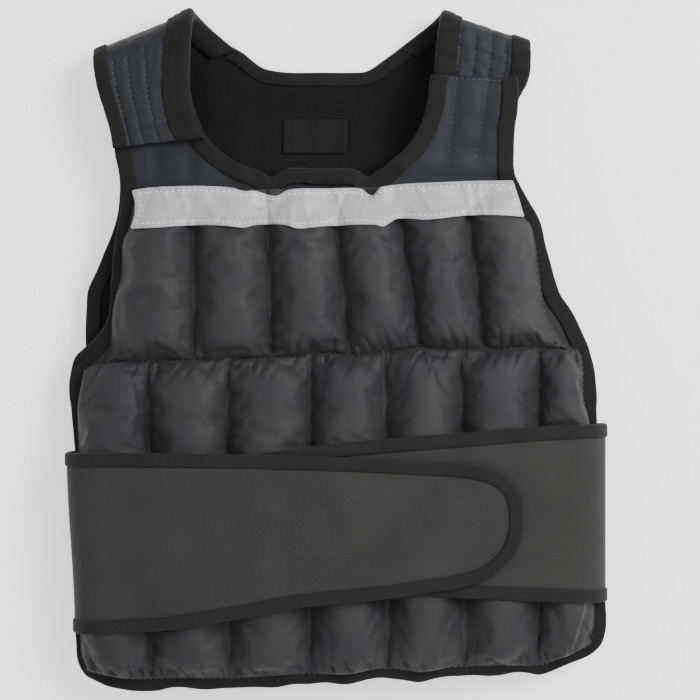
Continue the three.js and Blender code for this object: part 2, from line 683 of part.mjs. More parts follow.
function addBelt() {
  addWing("belt_wing_right", rightWing, () => 0);
  const overlap = rightWing.at(-1).out * halfWidth;
  addWing("belt_wing_left", leftWing, (x) => beltStep * smooth(x, overlap - 45, overlap - 8));
  const ends = [-beltSeamOut, 0, beltSeamOut].map((x) => x - (Math.sign(x) * pocketGap) / 2);
  const grid = ends.map((x) =>
    straight(
      vector(x, beltBackEdge(x, "high") - tapeProud, beltMiddle),
      vector(x, beltBackEdge(x, "low") + tapeProud, beltMiddle), 2,
    ),
  );
  add("belt_back", thickened([grid], alongNormal(beltThickness / 2)), colours.belt);
  const options = { width: beltTapeWidth, wall: beltThickness, colour: colours.beltTape };
  addGridTape("belt_back_lower_binding", grid, "last", options);
  addGridTape("belt_back_upper_binding", grid, "first", options);
}

function addLiningPatch(raise) {
  const { low, high, left, right } = liningPatch;
  const rows = [0, 0.25, 0.5, 0.75, 1].map((share) => {
    const up = mix(low, high, share);
    return straight(planPoint({ up, out: left }), planPoint({ up, out: right }), 3);
  });
  const onLining = (p) => {
    const z = raise(p).z + panelThickness / 2 + patchGap;
    return { upper: p.clone().setZ(z + patchThickness), lower: p.clone().setZ(z) };
  };
  add("lining_patch", thickened([rows], onLining), colours.patch);
}

const front = panel(frontOutline, frontHeight, { side: 17, shoulder: 8, shoulderColumns: 4, neckColumns: 4 });
const back = panel(backOutline, backHeight, { side: 14, shoulder: 9, shoulderColumns: 4, neckColumns: 4 });
addPanel("front", front);
addPanel("back", back);
addStripe(addFrontPockets(front.rimInner));
addBackPockets(back.rimInner);
addStrap("left", leftStrapLevel);
addStrap("right", rightStrapLevel);
addBelt();
addLiningPatch(back.raise);

// The part stands with the middle of its footprint on the origin and its lowest point at height 0.
const box = new THREE.Box3().setFromObject(group);
const middle = box.getCenter(vector(0, 0, 0));
for (const mesh of group.children) mesh.geometry.translate(-middle.x, -middle.y, -box.min.z);

export default group;
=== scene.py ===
# A front-loading weighted vest, laid on its back on a pale floor and seen from straight above.
import math

import bmesh
import bpy
import numpy as np
from mathutils import Matrix, Vector, noise
from mathutils.bvhtree import BVHTree


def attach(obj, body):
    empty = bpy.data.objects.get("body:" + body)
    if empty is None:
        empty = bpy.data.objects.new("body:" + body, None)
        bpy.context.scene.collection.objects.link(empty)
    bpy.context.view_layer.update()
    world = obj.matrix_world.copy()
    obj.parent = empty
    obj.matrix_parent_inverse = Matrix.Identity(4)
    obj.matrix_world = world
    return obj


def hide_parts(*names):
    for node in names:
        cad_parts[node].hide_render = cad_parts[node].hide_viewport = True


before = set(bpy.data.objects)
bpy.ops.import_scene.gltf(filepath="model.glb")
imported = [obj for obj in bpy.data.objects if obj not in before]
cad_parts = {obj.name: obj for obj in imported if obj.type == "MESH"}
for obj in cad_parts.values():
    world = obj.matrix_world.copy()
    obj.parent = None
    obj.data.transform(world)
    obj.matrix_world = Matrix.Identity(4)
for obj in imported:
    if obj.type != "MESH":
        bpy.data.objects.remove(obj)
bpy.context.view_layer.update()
mm = 0.001
scene = bpy.context.scene

vest = {
    "length": 558 * mm,
    "middle": 280.2 * mm,  # the hem's distance below the origin
    "halfWidth": 217 * mm,
    "panel": 4 * mm,  # padded wall
    "sideLevel": 28 * mm,  # middle of the front panel's wall at its sides
    "arch": 14 * mm,
    "backLevel": 22 * mm,
    "backShoulder": 4.6 * mm,
    "backDroop": 7 * mm,
    "leftFlap": 36 * mm,
    "leftStrap": 44.8 * mm,
    "rightStrap": 36 * mm,
    "rightFlap": 44.8 * mm,
    "leftRise": (0.752, 0.795),  # shares of the length between which a panel goes to its shoulder's level
    "rightRise": (0.752, 0.83),
    "backFall": (0.745, 0.855),
    "tape": 0.9 * mm,  # thickness of the binding tape
}


def smoothStep(x, low, high):
    t = min(max((x - low) / (high - low), 0.0), 1.0)
    return t * t * (3 - 2 * t)


def mix(a, b, t):
    return a + (b - a) * t


def upOf(y):
    return (y + vest["middle"]) / vest["length"]


def torsoHeight(x):
    side = min(abs(x) / vest["halfWidth"], 1.05)
    return vest["sideLevel"] + vest["arch"] * (1 - side**2.5)


def frontHeight(x, y):
    word = "left" if x < 0 else "right"
    return mix(torsoHeight(x), vest[word + "Flap"], smoothStep(upOf(y), *vest[word + "Rise"]))


def backHeight(x, y):
    side = min(abs(x) / vest["halfWidth"], 1)
    level = mix(vest["backLevel"], vest["backShoulder"], smoothStep(upOf(y), *vest["backFall"]))
    return level - min(vest["backDroop"], level - vest["backShoulder"]) * side**6


def bumpy(x, y, size, seed):
    return noise.noise(Vector((x / size, y / size, seed)))


# How far along a line each of its points lies
def runLengths(points):
    runs = [0.0]
    for a, b in zip(points, points[1:]):
        runs.append(runs[-1] + (b - a).length)
    return runs


# Smooth line through a few points, given in millimetres, at equal steps
def lineThrough(points, count):
    spots = [Vector(p) * mm for p in points]
    fine = []
    for i in range(len(spots) - 1):
        before = spots[max(i - 1, 0)]
        after = spots[min(i + 2, len(spots) - 1)]
        start, end = spots[i], spots[i + 1]
        span = (end - start).length
        startPull = (end - before) * (span / max((end - before).length, 1e-9)) / 3
        endPull = (after - start) * (span / max((after - start).length, 1e-9)) / 3
        for k in range(24):
            t = k / 24
            a, b, c, d = (1 - t) ** 3, 3 * t * (1 - t) ** 2, 3 * t * t * (1 - t), t**3
            fine.append(start * a + (start + startPull) * b + (end - endPull) * c + end * d)
    fine.append(spots[-1])
    runs = runLengths(fine)
    places = np.linspace(0, runs[-1], count)
    axes = [np.interp(places, runs, [p[k] for p in fine]) for k in range(len(fine[0]))]
    return [Vector(p) for p in zip(*axes)]


def acrossAt(line, y):
    ys = [p[1] for p in line]
    xs = [p[0] for p in line]
    if ys[0] > ys[-1]:
        ys, xs = ys[::-1], xs[::-1]
    return float(np.interp(y, ys, xs))


def heightAt(line, x):
    return float(np.interp(x, [p[0] for p in line], [p[1] for p in line]))


def addPiece(name, bm, material):
    mesh = bpy.data.meshes.new(name)
    bm.to_mesh(mesh)
    bm.free()
    piece = bpy.data.objects.new(name, mesh)
    scene.collection.objects.link(piece)
    mesh.shade_smooth()
    mesh.materials.append(material)
    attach(piece, "root")
    return piece


# A grid whose points are placed by a function of two shares; its UV map is in metres
def gridMesh(columns, rows, placeAt, size):
    bm = bmesh.new()
    bm.loops.layers.uv.new("UVMap")
    bmesh.ops.create_grid(bm, x_segments=columns, y_segments=rows, size=0.5, calc_uvs=True)
    uvLayer = bm.loops.layers.uv.verify()
    for face in bm.faces:
        for corner in face.loops:
            u, v = corner.vert.co.x + 0.5, corner.vert.co.y + 0.5
            corner[uvLayer].uv = (u * size[0], v * size[1])
    for vert in bm.verts:
        vert.co = placeAt(vert.co.x + 0.5, vert.co.y + 0.5)
    return bm


# A flat sheet of any outline, cut into small cells and then put in its place
def outlineMesh(outline, cell, placeAt, flip=False):
    bm = bmesh.new()
    bm.faces.new([bm.verts.new((p[0], p[1], 0)) for p in outline])
    for axis in (0, 1):
        low = min(p[axis] for p in outline)
        high = max(p[axis] for p in outline)
        steps = int((high - low) / cell)
        for k in range(1, steps + 1):
            at, normal = Vector((0, 0, 0)), Vector((0, 0, 0))
            at[axis] = low + k * (high - low) / (steps + 1)
            normal[axis] = 1
            geometry = bm.verts[:] + bm.edges[:] + bm.faces[:]
            bmesh.ops.bisect_plane(bm, geom=geometry, dist=1e-7, plane_co=at, plane_no=normal)
    bmesh.ops.remove_doubles(bm, verts=bm.verts[:], dist=0.15 * mm)
    bmesh.ops.recalc_face_normals(bm, faces=bm.faces[:])
    if (sum(face.normal.z * face.calc_area() for face in bm.faces) < 0) != flip:
        bmesh.ops.reverse_faces(bm, faces=bm.faces[:])
    uvLayer = bm.loops.layers.uv.new("UVMap")
    for face in bm.faces:
        for corner in face.loops:
            corner[uvLayer].uv = corner.vert.co.xy
    for vert in bm.verts:
        vert.co = placeAt(vert.co.x, vert.co.y)
    return bm


def thicken(piece, wall):
    solid = piece.modifiers.new("Wall", "SOLIDIFY")
    solid.thickness = wall
    solid.offset = 0  # half of the wall on each side
    return piece


def subdivide(piece):
    smooth = piece.modifiers.new("Smooth", "SUBSURF")
    smooth.levels = smooth.render_levels = 1


# A section carried along stations of point, way out of the cloth and the cloth's normal
def sweptMesh(stations, section):
    last = len(section) - 1
    count = len(stations) - 1
    length = sum((stations[i + 1][0] - stations[i][0]).length for i in range(count))

    def placeAt(u, v):
        point, out, normal = stations[round(u * count)]
        reach, rise = section[round(v * last)]
        return point + out * reach + normal * rise

    width = sum(math.dist(section[i], section[i + 1]) for i in range(last))
    return gridMesh(count, last, placeAt, (length, width))


def edgeStations(points, normals, side=1.0):
    stations = []
    for i, point in enumerate(points):
        run = points[min(i + 1, len(points) - 1)] - points[max(i - 1, 0)]
        out = run.cross(normals[i]).normalized() * side
        stations.append((point, out, normals[i].normalized()))
    return stations


# Tape folded over an edge: two legs and a rounded fold, with further strips sewn on its upper leg
def tapeSection(width, wall, layers):
    cloth = vest["tape"]
    half = wall / 2 + 0.5 * mm + cloth / 2
    section = [(-width, half - 0.25 * mm)]
    for layer in range(layers):
        rise = half + 0.12 * mm + layer * cloth
        inner, outer = -width * (1 - layer / layers), -width * (1 - (layer + 1) / layers)
        section += [(mix(inner, outer, share), rise) for share in (0.06, 0.35, 0.7)]
    top = half + 0.1 * mm + (layers - 1) * cloth
    for k in range(9):
        angle = math.pi / 2 - math.pi * k / 8
        section.append((half * 0.8 * math.cos(angle) - 0.2 * mm,
                        mix(-half, top, (1 + math.sin(angle)) / 2)))
    section += [(-width * 0.5, -half), (-width, -half)]
    return section


def addTape(name, stations, width, wall, material, layers=1):
    bm = sweptMesh(stations, tapeSection(width, wall, layers))
    bmesh.ops.recalc_face_normals(bm, faces=bm.faces[:])
    piece = addPiece(name, bm, material)
    return thicken(piece, vest["tape"])


print("helpers ready")


def fromHex(text):
    channels = [int(text[i : i + 2], 16) / 255 for i in (0, 2, 4)]
    linear = [c / 12.92 if c <= 0.04045 else ((c + 0.055) / 1.055) ** 2.4 for c in channels]
    return (*linear, 1.0)


def addNode(tree, kind, settings=None, inputs=None):
    made = tree.nodes.new(kind)
    for key, value in (settings or {}).items():
        setattr(made, key, value)
    for key, value in (inputs or {}).items():
        if isinstance(value, bpy.types.NodeSocket):
            tree.links.new(value, made.inputs[key])
        else:
            made.inputs[key].default_value = value
    return made


# Each cloth: its colours, the spacing in millimetres of its threads, ribs or holes, and how strongly they
# stand out. Real threads lie 0.4 mm apart, too close for the picture, so the weaves are drawn coarser.
cloths = {
    "coatedNylonOxford": {  # pocket faces: smooth calendered face with a dull gleam
        # The light colour is the warm tint of the lit, gleaming cloth and the dark colour the bluish tint
        # of its shaded flanks; mixed in random patches, they paint sheen and shade
        "light": "2a2b2b", "dark": "191b20", "roughness": 0.64, "sheen": 0.04, "specular": 0.18,
        "pattern": "weave", "spacing": 1.3, "depth": 0.10, "grain": 0.35, "crease": 0.22,
    },
    "quiltedNylonOxford": {  # shoulders and chest: the same cloth over foam, a little bluer
        "light": "1d2026", "dark": "121418", "roughness": 0.64, "sheen": 0.04, "specular": 0.17,
        "pattern": "weave", "spacing": 1.3, "depth": 0.10, "grain": 0.35, "crease": 0.45,
    },
    "brushedLoopCloth": {  # belt: napped loops scatter the light, so it is matt with no gleam
        "light": "2d2f2c", "dark": "222321", "roughness": 0.95, "sheen": 0.08, "specular": 0.1,
        "pattern": "nap", "spacing": 1.5, "depth": 0.22, "grain": 0.8, "crease": 0.5,
    },
    "ribbedBindingTape": {  # woven in diagonal ribs, dull and slightly olive
        "light": "141613", "dark": "090a08", "roughness": 0.85, "sheen": 0.03, "specular": 0.15,
        "pattern": "ribs", "spacing": 3.0, "depth": 0.45, "grain": 0.5, "crease": 0.2,
    },
    "beltBindingTape": {  # narrower ribs and a little greyer than the other tape
        "light": "191b19", "dark": "0f110f", "roughness": 0.85, "sheen": 0.03, "specular": 0.15,
        "pattern": "ribs", "spacing": 2.6, "depth": 0.35, "grain": 0.5, "crease": 0.2,
    },
    "spacerMeshLining": {  # knitted mesh, nearly black because its holes swallow the light
        "light": "131615", "dark": "090b0a", "roughness": 0.95, "sheen": 0.02, "specular": 0.08,
        "pattern": "holes", "spacing": 3.2, "depth": 0.5, "grain": 0.6, "crease": 0.4,
    },
    "glassBeadReflectiveTape": {  # pale grey, smooth and faintly glittering
        "light": "9a9a9e", "dark": "87878c", "roughness": 0.45, "sheen": 0.0, "specular": 0.5,
        "pattern": "weave", "spacing": 1.0, "depth": 0.04, "grain": 0.2, "crease": 0.3,
    },
    "wovenPatchCloth": {  # plain weave, blank, as dark as the lining but less rough
        "light": "101311", "dark": "090b0a", "roughness": 0.8, "sheen": 0.03, "specular": 0.15,
        "pattern": "weave", "spacing": 1.4, "depth": 0.15, "grain": 0.4, "crease": 0.3,
    },
}


def makeCloth(name, look):
    material = bpy.data.materials.new(name)
    material.use_nodes = True
    tree = material.node_tree
    shader = tree.nodes["Principled BSDF"]
    shader.inputs["Roughness"].default_value = look["roughness"]
    shader.inputs["Specular IOR Level"].default_value = look["specular"]
    shader.inputs["Sheen Weight"].default_value = look["sheen"]
    shader.inputs["Sheen Roughness"].default_value = 0.45
    place = addNode(tree, "ShaderNodeTexCoord")
    uv, solid = place.outputs["UV"], place.outputs["Object"]
    spacing = look["spacing"] * mm
    bandScale = 0.6283 / spacing  # a diagonal wave's period; a straight one's is half of it
    mathNode, noiseNode, bumpNode = "ShaderNodeMath", "ShaderNodeTexNoise", "ShaderNodeBump"
    if look["pattern"] == "weave":
        warp = addNode(tree, "ShaderNodeTexWave", {"bands_direction": "X"},
                       {"Vector": uv, "Scale": bandScale * 0.5})
        weft = addNode(tree, "ShaderNodeTexWave", {"bands_direction": "Y"},
                       {"Vector": uv, "Scale": bandScale * 0.5})
        pattern = addNode(tree, mathNode, {"operation": "MULTIPLY"},
                          {0: warp.outputs["Fac"], 1: weft.outputs["Fac"]})
    elif look["pattern"] == "ribs":
        ribs = {"Vector": uv, "Scale": bandScale, "Distortion": 0.6}
        pattern = addNode(tree, "ShaderNodeTexWave", {"bands_direction": "DIAGONAL"}, ribs)
    elif look["pattern"] == "holes":
        holes = {"Vector": uv, "Scale": 1 / spacing, "Randomness": 0.25}
        pattern = addNode(tree, "ShaderNodeTexVoronoi", {}, holes)
    else:
        pattern = addNode(tree, noiseNode, {}, {"Vector": solid, "Scale": 1 / spacing, "Detail": 3.0})
    relief = pattern.outputs[0]
    grain = addNode(tree, noiseNode, {}, {"Vector": solid, "Scale": 650.0, "Detail": 2.0})
    patches = addNode(tree, noiseNode, {}, {"Vector": solid, "Scale": 22.0, "Detail": 3.0})
    soft = {"Vector": solid, "Scale": 75.0, "Detail": 4.0, "Roughness": 0.45}
    creases = addNode(tree, noiseNode, {}, soft)
    # Random mottle of fine grain and larger patches that picks between each cloth's light and dark colour;
    # on the pocket nylon these are painted lit and shaded tints
    mottleAndPaintedSheen = addNode(tree, mathNode, {"operation": "MULTIPLY_ADD"},
                   {0: grain.outputs[0], 1: look["grain"], 2: patches.outputs[0]})
    span = {"Value": mottleAndPaintedSheen.outputs[0], "From Min": 0.35, "From Max": 0.7 + look["grain"]}
    spread = addNode(tree, "ShaderNodeMapRange", {}, span)
    threads = addNode(tree, mathNode, {"operation": "MULTIPLY_ADD"},
                      {0: relief, 1: look["depth"], 2: spread.outputs[0]})
    ramp = addNode(tree, "ShaderNodeValToRGB", {}, {"Fac": threads.outputs[0]})
    ramp.color_ramp.elements[0].color = fromHex(look["dark"])
    ramp.color_ramp.elements[1].color = fromHex(look["light"])
    tree.links.new(ramp.outputs["Color"], shader.inputs["Base Color"])
    fine = addNode(tree, bumpNode, {}, {"Height": relief, "Strength": look["depth"], "Distance": 0.4 * mm})
    coarse = addNode(tree, bumpNode, {}, {"Height": creases.outputs[0], "Strength": look["crease"],
                                          "Distance": 1.2 * mm, "Normal": fine.outputs[0]})
    rough = addNode(tree, bumpNode, {}, {"Height": grain.outputs[0], "Strength": look["grain"] * 0.5,
                                         "Distance": 0.2 * mm, "Normal": coarse.outputs[0]})
    tree.links.new(rough.outputs[0], shader.inputs["Normal"])
    return material


materials = {name: makeCloth(name, look) for name, look in cloths.items()}
nylon = materials["coatedNylonOxford"]
quilt = materials["quiltedNylonOxford"]
loop = materials["brushedLoopCloth"]
tape = materials["ribbedBindingTape"]
beltTape = materials["beltBindingTape"]
lining = materials["spacerMeshLining"]
reflective = materials["glassBeadReflectiveTape"]
patchCloth = materials["wovenPatchCloth"]
print("materials ready")

# Rows of filled pockets. Edges and seams are in millimetres on the vest; a seam is (foot, head) across.
frontPockets = {
    "left": [(-205, -270), (-209.5, -245), (-210.5, -100), (-212, -50), (-209, -28), (-203.8, -12.2),
             (-188, -10.6), (-183, 27.7), (-180.5, 42), (-175.5, 60), (-174.4, 88), (-170, 97),
             (-167, 112), (-165, 131)],
    "right": [(208, -250), (212, -220), (207, -66), (203, -40), (199.7, -1.6), (186.6, 3), (171, 31),
              (166, 60), (160, 100), (153.5, 107), (145, 137)],
    "rowSeam": [(-212, -13.5), (-203.8, -12.2), (-157, -9.8), (-115.7, -9), (-84.8, -7.3), (-52, -6.5),
                (-4.9, -2.4), (9, -5.7), (36.7, -1.6), (68.5, 0.8), (102, 0.8), (125.5, 0), (161, 1.6),
                (199.7, -1.6), (212, -3)],
    "hem": [(-206, -264), (-195.6, -266), (-166, -270), (-137, -268.5), (-107.6, -268.5),
            (-68.5, -267.5), (-29.3, -264.5), (9.8, -264.5), (39, -260), (68.5, -263), (98, -259),
            (137, -258.5), (166, -258.5), (186, -252), (208, -243)],
    "head": [(-170, 128.5), (0, 131), (150, 135)],
    "lowerSeams": [(-150, -154), (-87.2, -88), (-22, -20.4), (42.4, 39.1), (105.1, 101), (164.6, 166.3)],
    "upperSeams": [(-115.7, -115.7), (-52.2, -56.2), (10.6, -2.4), (69.3, 47.3), (121.4, 104.3)],
    "height": 19.5 * mm,
    "clothSize": (420 * mm, 250 * mm),
    "cellsAcross": 20,
    "frames": 20,  # of the cloth's settling
    "slack": 0.055,
    "pressure": 3.0,
    "cap": 5 * mm,
}


def pocketProfile(share, v, row):
    across = max(1 - abs(2 * share - 1) ** 2.5, 0) ** 0.62
    if row == "lower":
        return across * max(1 - abs(2 * v - 1) ** 9, 0) ** 0.6
    rise = max(1 - max(1 - v / 0.16, 0) ** 2.4, 0) ** 0.6
    fall = mix(1, 0.14, smoothStep(v, 0.66, 1.02))
    return across * rise * fall


# Places on one row of pockets, from shares across and along the row
def rowPlan(row, rowsAlong, baseAt, way):
    plan = frontPockets
    left, right = [lineThrough(plan[k], 90) for k in ("left", "right")]
    rowSeam, hem, head = [lineThrough(plan[k], 90) for k in ("rowSeam", "hem", "head")]
    foot, top = (hem, rowSeam) if row == "lower" else (rowSeam, head)
    seams = plan[row + "Seams"]
    pockets = len(seams) + 1

    def placeAt(u, v):
        index = min(int(u * pockets + 1e-6), pockets - 1)
        share = u * pockets - index
        guess = mix(-0.2, 0.2, u)
        y = mix(heightAt(foot, guess), heightAt(top, guess), v)
        edges = [seams[k] for k in (index - 1, index) if 0 <= k < len(seams)]
        lines = [mix(a, b, v) * mm for a, b in edges]
        low = acrossAt(left, y) if index == 0 else lines[0]
        high = acrossAt(right, y) if index == pockets - 1 else lines[-1]
        x = mix(low, high, share)
        y = mix(heightAt(foot, x), heightAt(top, x), v)
        full = pocketProfile(share, v, row)
        return Vector((x, y, baseAt(x, y) + way * (1.0 * mm + plan["height"] * full)))

    columns = pockets * plan["cellsAcross"]
    return gridMesh(columns, rowsAlong, placeAt, plan["clothSize"]), pockets


# Blows a pinned cloth up a little and lets its spare length fold, then keeps each point near its start
def inflate(piece, pinned, plan):
    started = np.array([v.co[:] for v in piece.data.vertices])
    group = piece.vertex_groups.new(name="seams")
    group.add(pinned, 1.0, "REPLACE")
    cloth = piece.modifiers.new("Cloth", "CLOTH")
    cloth.settings.quality = 5
    cloth.settings.mass = 0.15
    cloth.settings.vertex_group_mass = "seams"
    cloth.settings.tension_stiffness = 12
    cloth.settings.compression_stiffness = 6
    cloth.settings.shear_stiffness = 4
    cloth.settings.bending_stiffness = 0.35
    cloth.settings.shrink_min = -plan["slack"]
    cloth.settings.use_pressure = True
    cloth.settings.uniform_pressure_force = plan["pressure"]
    cloth.settings.effector_weights.gravity = 0
    cloth.collision_settings.use_collision = False
    cloth.point_cache.frame_start = 1
    cloth.point_cache.frame_end = plan["frames"]
    for step in range(1, plan["frames"] + 1):
        scene.frame_set(step)
    settled = piece.evaluated_get(bpy.context.evaluated_depsgraph_get()).data
    moved = np.array([v.co[:] for v in settled.vertices]) - started
    reach = np.linalg.norm(moved, axis=1, keepdims=True)
    cap = plan["cap"]
    moved *= cap * np.tanh(reach / cap) / np.maximum(reach, 1e-9)
    piece.modifiers.remove(cloth)
    piece.vertex_groups.clear()
    piece.data.vertices.foreach_set("co", (started + moved).ravel())
    piece.data.update()
    scene.frame_set(1)


def seamVertices(piece, columns, rows, pockets):
    across = columns + 1
    cells = columns // pockets
    pinned = []
    for index in range(len(piece.data.vertices)):
        column, row = index % across, index // across
        if column % cells == 0 or row == 0 or row == rows:
            pinned.append(index)
    return pinned


def addFrontPockets(row, rowsAlong):
    baseAt = lambda x, y: frontHeight(x, y) + vest["panel"] / 2 + 1.2 * mm
    bm, pockets = rowPlan(row, rowsAlong, baseAt, 1)
    name = "frontPocketCloth" + row.capitalize()
    piece = addPiece(name, bm, nylon)
    columns = pockets * frontPockets["cellsAcross"]
    inflate(piece, seamVertices(piece, columns, rowsAlong, pockets), frontPockets)
    subdivide(piece)
    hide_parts(*[f"front_pocket_{row}_{k + 1}" for k in range(pockets)])
    return piece


lowerCloth = addFrontPockets("lower", 80)
upperCloth = addFrontPockets("upper", 44)
print("front pockets ready")

# Waist belt: two wings that close over the front and a stretch under the back
belt = {
    "cloth": 2.2 * mm,
    "tapeWidth": 9 * mm,
    "seam": 150.4 * mm,  # from the middle to the seam with the back stretch
    "bendFrom": 185.3 * mm,
    "bend": 35 * mm,
    "floor": 2.7 * mm,
    "overPanel": 27.6 * mm,  # from the panel's wall to the belt, over filled pockets
    "layer": 6 * mm,
    "liftFrom": -173 * mm,
    "liftTo": -136 * mm,
    "cell": 4 * mm,
    "wave": 1.1 * mm,
    "height": 144 * mm,
    "foldX": 220.9 * mm,
    "seamShare": 0.16,  # of the way across the back from a side fold to the seam
    "leftSide": (-230.5, -86.3),  # lower and upper edge at each side fold
    "rightSide": (-205.3, -62.7),
    "leftLow": [(-145.9, -224.8), (-87.2, -215.9), (-29.3, -205.3), (42.4, -197.9), (70.1, -193.9),
                (101, -189), (120.6, -183), (133.7, -173.5), (140.2, -166), (145, -157), (147.6, -148),
                (148.3, -139.3)],
    "leftHigh": [(148.3, -139.3), (147.6, -125.4), (144.3, -114.5), (137.7, -106), (128.8, -100),
                 (117.4, -96.1), (103.5, -93.7), (52.2, -90.4), (-29.3, -87.2), (-151.6, -85.5)],
    "rightLow": [(120, -199.5), (60, -196), (0, -192), (-80, -184), (-110, -174), (-126, -158),
                 (-130, -142)],
    "rightHigh": [(-130, -142), (-128, -122), (-118, -104), (-98, -93), (-70, -87.2), (-4.9, -78.2),
                  (39.9, -74.1), (103.5, -69.2), (166.3, -64.4)],
}


def wingHeight(x, over):
    lift = belt["layer"] * smoothStep(x, belt["liftFrom"], belt["liftTo"]) if over else 0
    return torsoHeight(x) + belt["overPanel"] + lift


# The belt's run seen from the hem, as points (run length, x, z)
def wingPath(side, over):
    bendFrom, bend = belt["bendFrom"], belt["bend"]
    spots = [(side * belt["seam"], belt["floor"]), (side * bendFrom, belt["floor"])]
    top = wingHeight(side * bendFrom, over)
    for k in range(1, 33):
        angle = math.pi * (k / 32 - 0.5)
        rise = (1 + math.sin(angle)) / 2
        spots.append((side * (bendFrom + bend * math.cos(angle)), mix(belt["floor"], top, rise)))
    for k in range(1, 91):
        x = side * bendFrom * (1 - 2 * k / 90)
        spots.append((x, wingHeight(x, over)))
    path = [(0.0, *spots[0])]
    for a, b in zip(spots, spots[1:]):
        path.append((path[-1][0] + math.dist(a, b), *b))
    return path


def addWing(side, name):
    over = side < 0
    path = wingPath(side, over)
    runs, xs, zs = [[p[k] for p in path] for k in range(3)]
    frontFrom = 34  # the path's first point on the front, past the side fold
    sideRun = runs[17]  # the middle of the side fold

    def runOf(x):
        order = slice(frontFrom, None)
        places, lengths = xs[order], runs[order]
        if side > 0:
            places, lengths = places[::-1], lengths[::-1]
        return float(np.interp(x, places, lengths))

    def unrolled(key):
        return [(runOf(x * mm) / mm, y) for x, y in belt[key]]

    word = "left" if over else "right"
    sideLow, sideHigh = belt[word + "Side"]
    other = belt["rightSide" if over else "leftSide"]
    backLow, backHigh = [mix(a, b, belt["seamShare"]) for a, b in zip((sideLow, sideHigh), other)]
    low = lineThrough([(0, backLow), (sideRun / mm, sideLow)] + unrolled(word + "Low"), 90)
    high = lineThrough(unrolled(word + "High") + [(sideRun / mm, sideHigh), (0, backHigh)], 90)
    rim = low + high[1:]

    def onPath(run, y):
        x, z = float(np.interp(run, runs, xs)), float(np.interp(run, runs, zs))
        near = 0.5 * mm
        dx = float(np.interp(run + near, runs, xs) - np.interp(run - near, runs, xs))
        dz = float(np.interp(run + near, runs, zs) - np.interp(run - near, runs, zs))
        normal = Vector((side * dz, 0, -side * dx)).normalized()
        onFront = smoothStep(run, runs[frontFrom], runs[frontFrom] + 60 * mm)
        ripples = bumpy(x, y, 70 * mm, 3.0 + side) + 0.6 * bumpy(x, y * 0.4, 26 * mm, 7.0)
        wave = belt["wave"] * onFront * ripples
        # The left side fold lies further in towards the hem
        lean = 6.6 * mm * smoothStep(-y, 86 * mm, 230 * mm) if over else 0
        lean *= smoothStep(abs(x), belt["bendFrom"], belt["bendFrom"] + belt["bend"])
        return Vector((x + lean, y, z)) + normal * wave, normal

    bm = outlineMesh(rim, belt["cell"], lambda run, y: onPath(run, y)[0], flip=not over)
    piece = addPiece(name, bm, loop)
    thicken(piece, belt["cloth"])
    spots = [onPath(p[0], p[1]) for p in rim]
    stations = edgeStations([s[0] for s in spots], [s[1] for s in spots], -side)
    edge = addTape(name + "Binding", stations, belt["tapeWidth"], belt["cloth"], beltTape)
    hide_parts(f"belt_wing_{word}")
    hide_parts(f"belt_wing_{word}_binding")


def addBeltBack():
    def edgeAt(k):
        sides = belt["leftSide"][k], belt["rightSide"][k]
        return lambda x: mix(*sides, (x / belt["foldX"] + 1) / 2) * mm

    lowAt, highAt = edgeAt(0), edgeAt(1)
    reach = belt["seam"] - 0.8 * mm

    def placeAt(u, v):
        x = mix(-reach, reach, u)
        return Vector((x, mix(highAt(x), lowAt(x), v), belt["floor"]))

    flat = (2 * reach, belt["height"])
    bm = gridMesh(60, 30, placeAt, flat)
    piece = addPiece("beltBack", bm, loop)
    thicken(piece, belt["cloth"])
    for word, line, side in (("Lower", lowAt, 1), ("Upper", highAt, -1)):
        points = [Vector((x, line(x), belt["floor"])) for x in np.linspace(-reach, reach, 60)]
        stations = edgeStations(points, [Vector((0, 0, 1))] * 60, side)
        name = "beltBack" + word + "Binding"
        edge = addTape(name, stations, belt["tapeWidth"], belt["cloth"], beltTape)
        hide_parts(f"belt_back_{word.lower()}_binding")
    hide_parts("belt_back")


addWing(-1, "beltWingLeft")
addWing(1, "beltWingRight")
addBeltBack()
print("belt ready")

